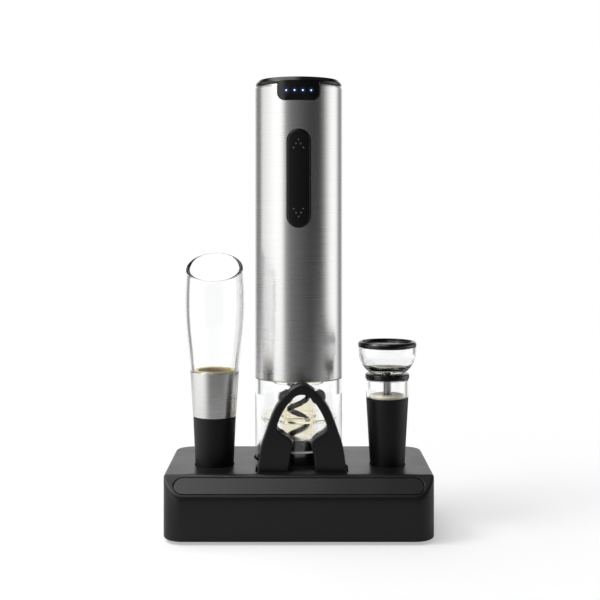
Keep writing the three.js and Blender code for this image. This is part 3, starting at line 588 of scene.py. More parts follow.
haze = node(painted_glow_pattern, "TexNoise", {"Vector": place, "Scale": 900.0, "Detail": 2.0}).outputs[0]
for socket, value in (
    ("Base Color", tinted(painted_glow_pattern, taken["Colour"], haze, taken["Variation"])),
    ("Roughness", swung(painted_glow_pattern, taken["Roughness"], haze, taken["Spread"])),
    ("Height", haze),
    ("Emission Color", glow.outputs[0]),
):
    painted_glow_pattern.links.new(value, given[socket])
# The tab's material carries the painted blue glow round the lights as emission.
window_black_painted_glow = finish("window_black_painted_glow", painted_glow_pattern, {
    "Colour": (0.004, 0.004, 0.005, 1), "Variation": 0.4, "Roughness": 0.17, "Spread": 0.06,
    "Spacing": LIGHT_SPACING * MM, "Height of lights": light_z * MM, "Reach": 0.0022,
}, 0.0008, {"IOR": 1.52, "Specular IOR Level": 0.4, "Emission Strength": 1.0}, ("Emission Color",))


def wrapped_tile(name, rows, steps=14):
    """Rings drawn as (x, height, radius) lie on the tube: y is the axis less the root of radius squared
    less x squared. The first and last rings then shrink to the middle, so that both faces stay curved."""
    middle = np.append((rows[0].min(0) + rows[0].max(0))[:2] / 2, 0)
    share = np.linspace(1, 0, steps + 1)[1:, None, None] * (1, 1, 0) + (0, 0, 1)
    front = middle + (rows[-1] - middle) * share
    back = (middle + (rows[0] - middle) * share)[::-1]
    rings = np.concatenate([back, rows, front])
    x, height, radius = rings[..., 0], rings[..., 1], rings[..., 2]
    points = np.stack([opener_axis[0] + x, opener_axis[1] - np.sqrt(radius ** 2 - x ** 2), height], -1)
    return build(name, points, grid_faces(*points.shape[:2], wrap_columns=True))


window_edge = rounded_ends(22.1, steel_radius, 0.4)
window = wrapped_tile("light_window_tab", window_rows(0, window_edge))
keep = stacked("keep", rounded_block(30, 30, 1, [[0, 200], [0, rim + 0.2]], opener_axis))
window = cut(window, [keep], "INTERSECT")
light_xs = (np.arange(4) - 1.5) * LIGHT_SPACING
cut(window, [turned("hole", [[0, -30], [LIGHT_RADIUS, -30], [LIGHT_RADIUS, -5], [0, -5]],
                    (x, light_z), 32, "Y") for x in light_xs])
shade(window)
fit(window, "opener", "gloss_black", window_black_painted_glow)

light_lens = finish("light_lens", moulded_grain, {
    "Colour": (0.8, 0.9, 1.0, 1), "Variation": 0.1, "Roughness": 0.25, "Spread": 0.1, "Grain": 1500.0,
}, 0.002, {"Emission Color": (0.66, 0.86, 1.0, 1), "Emission Strength": 1.2})
for k, x in enumerate(light_xs, 1):
    front = opener_axis[1] - np.sqrt(steel_radius ** 2 - x ** 2)
    reach = LIGHT_RADIUS - 0.06
    lens = rounded([[0, front - 0.1], [reach, front + 0.1], [reach, -5.6], [0, -5.6]],
                   [0, 0.3, 0.1, 0])
    lens = shade(turned(f"led_lens_{k}", lens, (x, light_z), 32, "Y"))
    fit(lens, "opener", "led_lens", light_lens, f"led_{k}")

# ---- rocker -------------------------------------------------------------------------
# One long satin black rocker for up and down, curved with the tube, on a steel axle.
# Its rim is rounded, and five small raised dots at each end draw an arrow; the dots' grey, lighter than the
# rocker, stands in partly for their highlights.
ROCKER_PROUD, ROCKER_RIM = 0.15, 0.7
rocker_rows = rounded_block(*rocker_half, rocker_half[0],
                            rounded_ends(steel_radius - 2.6, steel_radius + ROCKER_PROUD, ROCKER_RIM, 5),
                            rocker_centre, 24)
rocker = wrapped_tile("rocker_cap", rocker_rows)
lug_y = span("rocker_axle")[0][1] + 1.05
lug = rounded_block(3, 2.5, 0.6, [[0, -2.2], [0, 2.3]])
lug = np.stack([lug[..., 0], lug_y + lug[..., 2], rocker_centre[1] + lug[..., 1]], -1)
cut(rocker, [stacked("lug", lug)], "UNION")
shade(rocker, 40)
rocker_black = finish("rocker_black", moulded_grain, {
    "Colour": (0.0055, 0.0055, 0.0065, 1), "Variation": 0.5, "Roughness": 0.3, "Spread": 0.1,
    "Grain": 3200.0,
}, 0.003, {"IOR": 1.5, "Specular IOR Level": 0.4})
fit(rocker, "rocker", "satin_black", rocker_black, "rocker_button")

DOT_RADIUS, DOT_PROUD = 0.5, 0.28
arrow = np.array([[0, 21.2], [-1.3, 19.1], [1.3, 19.1], [-2.7, 16.8], [2.7, 16.8]])
dot_places = np.vstack([arrow, arrow * (1, -1)])[:, None, None, :] + rocker_centre
swing = np.linspace(0, np.pi / 2, 5)
dot_profile = np.vstack([[[0, -0.3], [DOT_RADIUS, -0.3]],
                         np.stack([DOT_RADIUS * np.cos(swing), DOT_PROUD * np.sin(swing)], -1)])
reach, out = dot_profile.T[:, None, :, None]
spin = np.linspace(0, 2 * np.pi, 16, endpoint=False)
dot_x = dot_places[..., 0] + reach * np.cos(spin)
dot_z = dot_places[..., 1] + reach * np.sin(spin)
seat = steel_radius + ROCKER_PROUD + out
dot_y = opener_axis[1] - np.sqrt(seat ** 2 - dot_x ** 2)
dot_points = np.stack([opener_axis[0] + dot_x, dot_y, dot_z], -1)
dot_faces = np.array(grid_faces(len(dot_profile), len(spin), wrap_columns=True))
dot_faces = dot_faces + np.arange(len(dot_places))[:, None, None] * len(dot_profile) * len(spin)
dots = shade(build("rocker_arrow_dots", dot_points, dot_faces.reshape(-1, 4).tolist()))
# Painted highlight in part: the dots are coloured a lighter grey than the rocker.
dot_grey_painted_highlight = finish("dot_grey_painted_highlight", moulded_grain, {
    "Colour": (0.1, 0.1, 0.105, 1), "Variation": 0.4, "Roughness": 0.25, "Spread": 0.1, "Grain": 2500.0,
}, 0.002, {"IOR": 1.5})
fit(dots, "rocker", "satin_black", dot_grey_painted_highlight)
axle_steel = finish("axle_steel", moulded_grain, {
    "Colour": (0.33, 0.33, 0.34, 1), "Variation": 0.3, "Roughness": 0.3, "Spread": 0.15, "Grain": 2000.0,
}, 0.004, {"Metallic": 1.0})
dress(axle_steel, "rocker_axle")

# ---- charging inlet -------------------------------------------------------------------
# A small oval metal socket at the back of the tube, with a flat tongue inside it.
inlet_middle = (0, inlet_z)
INLET = (4.7, 1.9)
mouth_y, throat_y = inlet_high[1] + 0.1, inlet_low[1]
out_to = opener_axis[1] - mouth_y
in_to = opener_axis[1] - throat_y
can = through_front("charging_socket", rounded_block(
    *INLET, INLET[1], rounded_ends(out_to, in_to, 0.25), inlet_middle))
inside = through_front("inside", rounded_block(
    INLET[0] - 0.55, INLET[1] - 0.5, 1.35, [[-0.2, out_to - 1], [-0.2, out_to], [0, out_to + 0.3],
                                            [0, in_to - 1.5]], inlet_middle))
shade(cut(can, [inside]))
fit(can, "opener", "dark_steel", screw_steel, "charging_port")
tongue = through_front("charging_tongue", rounded_block(
    3.1, 0.38, 0.3, rounded_ends(out_to + 0.8, in_to - 1.3, 0.2), inlet_middle))
fit(shade(tongue), "opener", "dark_steel", satin_black)

# ---- chassis, power and switches --------------------------------------------------------
# Inside the tube: a split black nylon chassis, two cells in a white cradle, the control
# board with its two switches behind the rocker, and the motor can.
chassis_nylon = finish("chassis_nylon", moulded_grain, {
    "Colour": (0.028, 0.028, 0.03, 1), "Variation": 0.6, "Roughness": 0.55, "Spread": 0.2,
    "Grain": 1800.0,
}, 0.02)
dress(chassis_nylon, "chassis_front", "chassis_rear", "up_switch", "down_switch", "worm_chuck")
cell_wrap = finish("cell_wrap", moulded_grain, {
    "Colour": (0.03, 0.09, 0.3, 1), "Variation": 0.25, "Roughness": 0.32, "Spread": 0.15, "Grain": 500.0,
}, 0.01, {"Coat Weight": 0.4, "Coat Roughness": 0.15})
dress(cell_wrap, "battery_cell_1", "battery_cell_2")
white_nylon = finish("white_nylon", moulded_grain, {
    "Colour": (0.74, 0.71, 0.63, 1), "Variation": 0.12, "Roughness": 0.5, "Spread": 0.15, "Grain": 1500.0,
}, 0.015, {"Subsurface Weight": 0.1, "Subsurface Scale": 0.002})
dress(white_nylon, "battery_cradle", "ring_gear_housing", "planet_gear_1", "planet_gear_2",
      "planet_gear_3")

circuit, taken, given = pattern_group("circuit_tracks", {
    "Colour": (0.02, 0.15, 0.06, 1), "Variation": 0.5, "Roughness": 0.4, "Spread": 0.1, "Pitch": 700.0,
})
place = node(circuit, "TexCoord").outputs["Object"]
cells = node(circuit, "TexVoronoi", {"Vector": place, "Scale": taken["Pitch"]}, distance="CHEBYCHEV")
tracks = node(circuit, "Math", {0: cells.outputs["Distance"], 1: 0.38}, operation="GREATER_THAN")
for socket, value in (
    ("Base Color", tinted(circuit, taken["Colour"], tracks.outputs[0], taken["Variation"])),
    ("Roughness", swung(circuit, taken["Roughness"], tracks.outputs[0], taken["Spread"])),
    ("Height", tracks.outputs[0]),
):
    circuit.links.new(value, given[socket])
circuit_board = finish("circuit_board", circuit, {
    "Colour": (0.018, 0.13, 0.055, 1), "Variation": 0.9, "Roughness": 0.42, "Spread": 0.12,
    "Pitch": 650.0,
}, 0.03, {"Coat Weight": 0.3})
dress(circuit_board, "control_board", "led_board")
motor_steel = finish("motor_steel", brushed_round, {
    "Colour": (0.42, 0.42, 0.43, 1), "Variation": 0.3, "Roughness": 0.32, "Spread": 0.15, "Fine": 5000.0,
}, 0.003, {"Metallic": 1.0})
dress(motor_steel, "motor_can", "sun_gear", "planet_carrier")

# ---- worm -----------------------------------------------------------------------------
# A right-hand screw bent from one round wire, ground to a point at its lower end and
# covered in a dark, glossy non-stick coating. Its top is held in the chuck.
WORM_RADIUS, WORM_WIRE, WORM_PITCH = 5.3, 1.55, 15
WORM_LEFT_AT = 47.1
worm_foot, worm_head = 38.0, 101.0


def coiled_wire(name, steps=420, sides=18):
    """A round wire along a helix: the path turns once every pitch, and each ring of the wire lies in the
    plane of the outward direction and of the cross product of that with the path's direction. The
    wire's radius grows from nothing as the square root of the way from its point."""
    way = np.linspace(0, 1, steps)
    height = worm_foot + (worm_head - worm_foot) * way
    angle = np.pi + 2 * np.pi * (height - WORM_LEFT_AT) / WORM_PITCH
    reach = WORM_RADIUS * np.clip(0.35 + way * 9, 0, 1)
    out = np.stack([np.cos(angle), np.sin(angle), 0 * angle], -1)
    path = out * reach[:, None] + np.stack([0 * height, 0 * height, height], -1)
    ahead = np.gradient(path, axis=0)
    ahead /= np.linalg.norm(ahead, axis=1)[:, None]
    across = np.cross(ahead, out)
    across /= np.linalg.norm(across, axis=1)[:, None]
    level = np.cross(across, ahead)
    thick = WORM_WIRE * np.clip(np.sqrt(way / 0.14), 0, 1)
    turn = np.linspace(0, 2 * np.pi, sides, endpoint=False)
    ring = level[:, None] * np.cos(turn)[:, None] + across[:, None] * np.sin(turn)[:, None]
    points = path[:, None] + ring * thick[:, None, None]
    points[..., :2] += opener_axis
    return stacked(name, points)


worm = coiled_wire("worm_wire")
shade(worm, 60, False)
worm_coat = finish("worm_coat", moulded_grain, {
    "Colour": (0.004, 0.004, 0.0045, 1), "Variation": 0.6, "Roughness": 0.2, "Spread": 0.12, "Grain": 1500.0,
}, 0.002, {"Metallic": 0.0, "Coat Weight": 0.5, "Coat Roughness": 0.05})
fit(worm, "worm_drive", "worm_steel", worm_coat, "worm")

# ---- clear sleeve, guides and chamber ---------------------------------------------------
# Turned and polished clear polycarbonate: the sleeve that drops over a bottle's neck, the
# guide that centres the neck, the sliding collar round the worm and the chamber for the cork.
# The guide stands on a black rubber ring, and the collar and the chamber are tinted straw.


def clear_finish(name, colour, roughness, ior, solid=1.0, grain=90.0, depth=0.001):
    """A clear material that lets light straight through for shadows, so that floors and walls behind it
    stay lit."""
    made = finish(name, moulded_grain, {
        "Colour": colour, "Variation": 0.02, "Roughness": roughness, "Spread": roughness, "Grain": grain,
    }, depth, {"IOR": ior, "Transmission Weight": 1.0, "Alpha": solid})
    tree = made.node_tree
    shader, surface = tree.nodes["Principled BSDF"], tree.nodes["Material Output"].inputs["Surface"]
    straight = node(tree, "BsdfTransparent")
    for_shadow = node(tree, "LightPath").outputs["Is Shadow Ray"]
    mixed = node(tree, "MixShader", {0: for_shadow, 1: shader.outputs[0], 2: straight.outputs[0]})
    tree.links.new(mixed.outputs[0], surface)
    return made


clear_plastic = clear_finish("clear_plastic", (0.985, 0.988, 0.99, 1), 0.015, 1.49)
inner_clear = clear_finish("inner_clear", (0.985, 0.988, 0.99, 1), 0.01, 1.2, 0.25)
straw_plastic = clear_finish("straw_plastic", (0.975, 0.945, 0.83, 1), 0.01, 1.1)
sleeve_low, sleeve_high = span("clear_sleeve")
sleeve_radius = (sleeve_high - sleeve_low)[0] / 2
SLEEVE_BORE = 22.1
sleeve_shoulder = shell_low[2] - 0.3
sleeve = rounded([
    [SLEEVE_BORE, sleeve_low[2]], [sleeve_radius, sleeve_low[2]], [sleeve_radius, sleeve_shoulder],
    [sleeve_radius - 1, sleeve_shoulder], [sleeve_radius - 1, sleeve_high[2]], [SLEEVE_BORE, sleeve_high[2]],
], [0.4, 0.7, 0.2, 0.1, 0.2, 0.2])
sleeve = shade(turned("clear_sleeve_tube", sleeve, opener_axis, 192))
fit(sleeve, "opener", "clear_plastic", clear_plastic, "clear_sleeve")

NECK_BORE = 16
seal_rubber = finish("seal_rubber", moulded_grain, {
    "Colour": (0.005, 0.005, 0.0055, 1), "Variation": 0.5, "Roughness": 0.3, "Spread": 0.1,
    "Grain": 2000.0,
}, 0.005, {"IOR": 1.47})
neck_low, neck_high = span("neck_guide")
neck_out = (neck_high - neck_low)[0] / 2
neck_top, neck_foot = neck_high[2], neck_low[2]
NECK_SEAL = 8.1
seal_top = neck_foot + NECK_SEAL
neck = rounded([[neck_out - 1.6, seal_top], [neck_out, seal_top], [neck_out, neck_top],
                [neck_out - 1.6, neck_top]], 0.3)
neck = shade(turned("neck_guide_ring", neck, opener_axis, 160))
fit(neck, "opener", "clear_plastic", inner_clear, "neck_guide")
neck_seal = rounded([[NECK_BORE, neck_foot + 3], [NECK_BORE + 2, neck_foot], [neck_out, neck_foot],
                     [neck_out, seal_top - 0.05], [NECK_BORE, seal_top - 0.05]], 0.5)
neck_seal = shade(turned("neck_foot_seal", neck_seal, opener_axis, 160))
fit(neck_seal, "opener", "black_rubber", seal_rubber, "neck_guide")

guide_low, guide_high = span("worm_guide")
guide_flange = (guide_high - guide_low)[0] / 2
GUIDE_RADIUS, GUIDE_BORE = 9.6, 8.3
FLANGE_BELOW, FLANGE_ABOVE = 57.3, 58.8
guide = rounded([
    [GUIDE_BORE, guide_low[2]], [GUIDE_RADIUS, guide_low[2]], [GUIDE_RADIUS, FLANGE_BELOW],
    [guide_flange, FLANGE_BELOW], [guide_flange, FLANGE_ABOVE], [GUIDE_RADIUS, FLANGE_ABOVE],
    [GUIDE_RADIUS, guide_high[2]], [GUIDE_BORE, guide_high[2]],
], [0.3, 0.3, 0.5, 0.5, 0.5, 0.5, 0.4, 0.4])
guide = shade(turned("worm_guide_collar", guide, opener_axis, 144))
fit(guide, "worm_guide", "clear_plastic", straw_plastic, "worm_guide")

chamber_low, chamber_high = span("cork_chamber")
chamber_flange = (chamber_high - chamber_low)[0] / 2
CHAMBER_RADIUS, CHAMBER_BORE = 14.5, 13
chamber = rounded([
    [CHAMBER_BORE, chamber_low[2]], [CHAMBER_RADIUS, chamber_low[2]],
    [CHAMBER_RADIUS, chamber_high[2] - 2], [chamber_flange, chamber_high[2] - 2],
    [chamber_flange, chamber_high[2]], [CHAMBER_BORE, chamber_high[2]],
], 0.4)
chamber = shade(turned("cork_chamber_tube", chamber, opener_axis, 144))
fit(chamber, "opener", "clear_plastic", straw_plastic, "cork_chamber")

# ---- aerating pourer --------------------------------------------------------------------
# A matt rubber plug, a brushed steel ring and a blown glass bowl whose mouth is cut at a
# slant and fire-polished round. A clear air tube passes up through the ring.
soft_rubber = finish("soft_rubber", moulded_grain, {
    "Colour": (0.005, 0.005, 0.005, 1), "Variation": 0.6, "Roughness": 0.45, "Spread": 0.12,
    "Grain": 2400.0,
}, 0.01, {"IOR": 1.45, "Specular IOR Level": 0.35})
plug_low, plug_high = span("aerator_stopper")
plug_top = (plug_high - plug_low)[0] / 2
plug = rounded([
    [4.6, plug_low[2]], [8.1, plug_low[2]], [8.9, plug_low[2] + 0.8], [10.65, stand_top],
    [plug_top, plug_high[2]], [9.2, plug_high[2]], [9.2, plug_high[2] - 12], [4.6, plug_high[2] - 14],
], [0.3, 0.5, 0.6, 3, 0.35, 0.3, 0.3, 0.3])
plug = shade(turned("pourer_plug", plug, pourer_axis, 144))
fit(plug, "aerator", "black_rubber", soft_rubber, "aerator_stopper")

ring_low, ring_high = span("aerator_ring")
ring_top = (ring_high - ring_low)[0] / 2
ring = rounded([[10.2, ring_low[2]], [11.8, ring_low[2]], [ring_top, ring_high[2]],
                [ring_top - 1.6, ring_high[2]]], [0.2, 0.25, 0.25, 0.2])
ring = turned("pourer_ring", ring, pourer_axis, 192)
shade(ring)
fit(ring, "aerator", "brushed_steel", brushed_steel, "aerator_ring")

BOWL_FOOT = 87.0
MOUTH_MIDDLE, MOUTH_SLOPE = 144.5, np.tan(np.radians(24.6))
bowl_heights = [87, 98, 110, 123, 136, 154]
outer_radius = np.poly1d(np.polyfit(bowl_heights, [13.6, 14.6, 15.9, 16.5, 16.2, 15.3], 4))
inner_radius = np.poly1d(np.polyfit(bowl_heights, [11.5, 12.5, 13.8, 14.4, 14.1, 13.1], 4))


def slanted_bowl(name, rise=64, lip=9, turns=192):
    """A bowl whose mouth lies in a slanted plane: the height of the mouth on each side is its middle plus
    slope x radius x sine, found by trying three times. Between the outer wall, which climbs to the
    mouth, and the inner wall, which comes down, the lip is half a circle."""
    angle = np.linspace(0, 2 * np.pi, turns, endpoint=False)[None, :]
    mouth = np.full_like(angle, MOUTH_MIDDLE)
    for _ in range(3):
        mouth = MOUTH_MIDDLE + MOUTH_SLOPE * outer_radius(mouth) * np.sin(angle)
    wall = (outer_radius(mouth) - inner_radius(mouth)) / 2
    lip_base = mouth - wall
    way = np.linspace(0, 1, rise)[:, None]
    climb = BOWL_FOOT + (lip_base - BOWL_FOOT) * way
    over = np.linspace(0, np.pi, lip + 2)[1:-1, None]
    middle = (outer_radius(lip_base) + inner_radius(lip_base)) / 2
    radius = np.concatenate([outer_radius(climb), middle + wall * np.cos(over), inner_radius(climb[::-1])])
    height = np.concatenate([climb, lip_base + wall * np.sin(over), climb[::-1]])
    points = np.stack([pourer_axis[0] + radius * np.cos(angle), pourer_axis[1] + radius * np.sin(angle),
                       height], -1)
    return build(name, points, grid_faces(*points.shape[:2], wrap_rows=True, wrap_columns=True))


clear_glass = clear_finish("clear_glass", (0.99, 0.993, 0.993, 1), 0.006, 1.47, 1.0, 50.0, 0.002)
bowl = slanted_bowl("pourer_bowl")
shade(bowl, 60, False)
fit(bowl, "aerator", "clear_glass", clear_glass, "aerator_glass")

core_low, core_high = span("aerator_core")
core = rounded([[3.2, core_low[2]], [8.9, core_low[2] + 3], [8.9, core_low[2] + 18], [6, core_low[2] + 24],
                [4.6, core_high[2]], [3.2, core_high[2]]], [0.3, 0.6, 1.5, 2, 0.3, 0.3])
core = shade(turned("pourer_air_tube", core, pourer_axis, 96))
fit(core, "aerator", "clear_plastic", clear_plastic, "aerator_core")
amber_seal = finish("amber_seal", moulded_grain, {
    "Colour": (0.42, 0.33, 0.14, 1), "Variation": 0.5, "Roughness": 0.3, "Spread": 0.15, "Grain": 500.0,
}, 0.01, {"Subsurface Weight": 0.2, "Subsurface Scale": 0.002})
seal = rounded([[9.4, 85.6], [11.7, 85.6], [11.7, 86.6], [11.1, 87.6], [9.4, 87.2]], 0.25)
seal = shade(turned("pourer_seal", seal, pourer_axis, 128))
fit(seal, "aerator", "clear_plastic", amber_seal)

# ---- vacuum pump stopper ------------------------------------------------------------------
# A soft rubber plug with a clear tube, a gloss black collar and a steel pump rod, which ends
# in the knob's cream washer. The knob is a clear bowl under a black lid with a raised rim.
pump_low, pump_high = span("vacuum_stopper")
pump_top = (pump_high - pump_low)[0] / 2
stopper = rounded([
    [1.6, pump_low[2]], [7.7, pump_low[2]], [8.5, pump_low[2] + 0.8], [9.65, stand_top],
    [pump_top, pump_high[2]], [5.6, pump_high[2]], [5.6, pump_low[2] + 6], [1.6, pump_low[2] + 6],
], [0.3, 0.5, 0.6, 3, 0.4, 0.3, 0.3, 0.3])
stopper = shade(turned("vacuum_plug", stopper, pump_axis, 144))
fit(stopper, "vacuum_pump", "black_rubber", soft_rubber, "vacuum_stopper")

low, high = span("pump_tube")
tube_out = (high - low)[0] / 2
pump_tube = rounded([[tube_out - 1.8, low[2]], [tube_out, low[2]], [tube_out, high[2]],
                     [tube_out - 1.8, high[2]]], 0.35)
pump_tube = shade(turned("vacuum_clear_tube", pump_tube, pump_axis, 128))
fit(pump_tube, "vacuum_pump", "clear_plastic", clear_plastic, "pump_tube")

cream_washer = finish("cream_washer", moulded_grain, {
    "Colour": (0.93, 0.87, 0.68, 1), "Variation": 0.12, "Roughness": 0.4, "Spread": 0.1, "Grain": 900.0,
}, 0.01, {"Subsurface Weight": 0.3, "Subsurface Scale": 0.002})
washer = rounded([[2.5, low[2] + 0.1], [tube_out - 2.1, low[2] + 0.1], [tube_out - 2.1, low[2] + 1.5],
                  [2.5, low[2] + 1.5]], 0.3)
washer = shade(turned("vacuum_rod_washer", washer, pump_axis, 96))
fit(washer, "vacuum_pump", "white_nylon", cream_washer)

low, high = span("pump_collar")
collar_out = (high - low)[0] / 2
collar = rounded([[2.4, low[2]], [collar_out - 0.5, low[2]], [collar_out, low[2] + 0.7],
                  [collar_out, high[2] - 0.4], [collar_out - 0.9, high[2]], [2.4, high[2]]],
                 [0.2, 0.5, 0.6, 0.6, 0.5, 0.2])
collar = shade(turned("vacuum_collar", collar, pump_axis, 144))
fit(collar, "vacuum_pump", "gloss_black", gloss_black, "pump_collar")

low, high = span("pump_rod")
rod_out = (high - low)[0] / 2
ROD_TOP = 89.3
rod = rounded([[0, low[2]], [rod_out, low[2]], [rod_out, ROD_TOP], [0, ROD_TOP]], [0, 0.3, 0.3, 0])
rod = shade(turned("pump_rod_pin", rod, pump_axis, 64))
fit(rod, "pump_knob", "dark_steel", axle_steel, "pump_rod")
low, high = span("pump_piston")
piston_out = (high - low)[0] / 2
middle = (low + high)[2] / 2
piston = rounded([[0, low[2]], [piston_out, low[2]], [piston_out, middle - 1], [piston_out - 0.6, middle],
                  [piston_out, middle + 1], [piston_out, high[2]], [0, high[2]]],
                 [0, 0.6, 0.4, 0.4, 0.4, 0.6, 0])
piston = shade(turned("pump_piston_seal", piston, pump_axis, 96))
fit(piston, "pump_knob", "black_rubber", soft_rubber, "pump_piston")


def smooth_line(points, count):
    """The Catmull-Rom curve through the points: between two of them it is the cubic whose slope at each is
    half the step from the point before it to the point after it."""
    at = np.asarray(points, float)
    at = np.vstack([2 * at[0] - at[1], at, 2 * at[-1] - at[-2]])
    way = np.linspace(0, len(points) - 1, count)
    first = np.minimum(way.astype(int), len(points) - 2)
    t = (way - first)[:, None]
    a, b, c, d = (at[first + k] for k in range(4))
    return 0.5 * (2 * b + (c - a) * t + (2 * a - 5 * b + 4 * c - d) * t ** 2
                  + (3 * b - a - 3 * c + d) * t ** 3)


knob_low = span("knob_bowl")[0][2]
cup_outside = smooth_line([[9.9, knob_low], [12.6, 88.4], [15.2, 93], [16.1, 98], [16.2, 100.2]], 28)
cup_inside = smooth_line([[14.4, 100.2], [14.2, 96], [12.6, 91.2], [9.5, 88.6], [6.5, 88]], 24)
cup = np.vstack([[[2.4, knob_low]], cup_outside, cup_inside, [[2.4, 88]]])
cup = shade(turned("knob_clear_cup", cup, pump_axis, 160), 50, False)
fit(cup, "pump_knob", "clear_plastic", clear_plastic, "knob_bowl")
disc = rounded([[2.5, 88.15], [9.0, 88.15], [8.6, 89.0], [2.5, 89.0]], 0.25)
disc = shade(turned("knob_cream_disc", disc, pump_axis, 96))
fit(disc, "pump_knob", "white_nylon", cream_washer)

low, high = span("knob_lid")
lid_out, lid_top = (high - low)[0] / 2, high[2]
lid = rounded([
    [0, low[2]], [14, low[2]], [14, 100.35], [lid_out - 0.1, 100.35], [lid_out, lid_top - 1.2],
    [lid_out - 0.9, lid_top], [lid_out - 2.1, lid_top - 0.1], [lid_out - 2.6, lid_top - 1.5],
    [0, lid_top - 1.5],
], [0, 0.2, 0.1, 0.3, 0.7, 0.5, 0.5, 0.5, 0], 6)
lid = shade(turned("knob_lid_disc", lid, pump_axis, 176))
fit(lid, "pump_knob", "gloss_black", gloss_black, "knob_lid")

# ---- foil cutter --------------------------------------------------------------------------
# A springy horseshoe moulded in satin black plastic, 12 mm deep, with every edge rounded.
# Four steel wheels turn in slots in its arms, and small nubs outside are for gripping.
CUTTER_OUTSIDE = [
    [24.1, 0], [22.3, 12.5], [19.8, 20.4], [17.2, 27.9], [13.9, 35], [8.95, 41.2], [4.4, 45.1], [0, 46.9],
]
CUTTER_INSIDE = [
    [7.1, 0], [6.3, 8], [4.9, 14.5], [6.9, 17.8], [9.8, 19.9], [12.6, 21.9], [13.3, 24], [12.4, 27.4],
    [10.2, 32], [7.9, 35.6], [5.4, 38.6], [2.8, 40.5], [0, 41.1],
]
CUTTER_EDGE = 1.0
foot_drop = stand_top - cutter_low[2]


def mirrored(half):
    """A half outline up to its top and down again on the other side."""
    half = np.asarray(half, float)
    return np.vstack([half, (half * (-1, 1))[-2::-1]])


outside = smooth_line(mirrored(CUTTER_OUTSIDE), 150)
inside = smooth_line(mirrored(CUTTER_INSIDE)[::-1], 200)
foot_right = [[7.3, -foot_drop], [24.6, -foot_drop]]
foot_left = [[-24.6, -foot_drop], [-7.3, -foot_drop]]
cutter_outline = np.vstack([foot_right, outside, foot_left, inside]) + (leg_middle[0], stand_top)


def carried_back(name, outline, profile):
    """An outline in x and z carried back along y: at each (inset, y) it moves in along its own normals,
    which stand square to the step from the point before to the point after."""
    step = np.roll(outline, -1, 0) - np.roll(outline, 1, 0)
    normal = np.stack([-step[:, 1], step[:, 0]], -1)
    normal /= np.linalg.norm(normal, axis=1)[:, None]
    inset, depth = np.asarray(profile).T[:, :, None]
    moved = outline[None] + inset[..., None] * normal[None]
    x, z = moved[..., 0], moved[..., 1]
    return stacked(name, np.stack([x, depth + 0 * x, z], -1))


frame_body = carried_back("foil_cutter_frame", cutter_outline,
                          rounded_ends(cutter_low[1], cutter_high[1], CUTTER_EDGE, 5))
wheels = [(middle_of(f"cutting_wheel_{k}")[0], *span(f"cutting_wheel_{k}")) for k in (1, 2, 3, 4)]
slots = []
for x, low, high in wheels:
    reach, z = (high - low)[0] / 2 + 0.5, (high + low)[2] / 2
    deep = (high + low)[1] / 2
    slots.append(turned("slot", [[0, deep - 0.9], [reach, deep - 0.9], [reach, deep + 0.9], [0, deep + 0.9]],
                        (x, z), 48, "Y"))
    slots.append(turned("bore", [[0, low[1] - 0.4], [1.35, low[1] - 0.4], [1.35, high[1] + 0.4],
                                 [0, high[1] + 0.4]], (x, z), 24, "Y"))
cut(frame_body, slots)
NUB_RADIUS = 1.5
arc = np.linspace(-np.pi / 2, np.pi / 2, 13)
nubs = [turned("nub", np.stack([NUB_RADIUS * np.cos(arc), cutter_low[1] + 3 + NUB_RADIUS * np.sin(arc)], -1),
               (leg_middle[0] + side * reach, stand_top + z), 24, "Y")
        for side in (-1, 1) for reach, z in ((23.6, 1.9), (22.6, 8.5))]
cut(frame_body, nubs, "UNION")
shade(frame_body, 38)
cutter_black = finish("cutter_black", moulded_grain, {
    "Colour": (0.009, 0.009, 0.0105, 1), "Variation": 0.5, "Roughness": 0.34, "Spread": 0.12,
    "Grain": 2800.0,
}, 0.006, {"IOR": 1.49, "Specular IOR Level": 0.4})
fit(frame_body, "foil_cutter", "satin_black", cutter_black, "cutter_body")

for k, (x, low, high) in enumerate(wheels, 1):
    reach, z = (high - low)[0] / 2, (high + low)[2] / 2
    deep = (high + low)[1] / 2
    wheel = rounded([
        [0, low[1]], [1.1, low[1]], [1.1, deep - 0.5], [reach - 0.7, deep - 0.5], [reach, deep],
        [reach - 0.7, deep + 0.5], [1.1, deep + 0.5], [1.1, high[1]], [0, high[1]],
    ], [0, 0.15, 0.1, 0.1, 0.03, 0.1, 0.1, 0.15, 0], 3)
    wheel = shade(turned(f"foil_wheel_{k}", wheel, (x, z), 96, "Y"), 25)
    fit(wheel, f"wheel_{k}", "brushed_steel", axle_steel, f"cutting_wheel_{k}")

# ---- floor, light and camera ----------------------------------------------------------------
# A pale sweep that fades to white, a soft dark studio with a tall white panel each side and
# a soft box above the left, and a camera a little over half way up the opener. Reflections
# see the floor glow only far out to each side, so that it doesn't wash out the steel.
FLOOR_RADIUS, FLOOR_RINGS, FLOOR_SPOKES = 480, 25, 96
FADE_START, FADE_END = 0.13, 0.4
GLOW_MIDDLE, GLOW_START, GLOW_END, GLOW_STRENGTH = 0.05, 0.18, 0.32, 1.3


def ramped(tree, value, start, end, low=0.0, high=1.0):
    """The value carried smoothly from low at start to high at end, and held beyond them."""
    return node(tree, "MapRange", {"Value": value, "From Min": start, "From Max": end, "To Min": low,
                                   "To Max": high}, interpolation_type="SMOOTHSTEP").outputs[0]


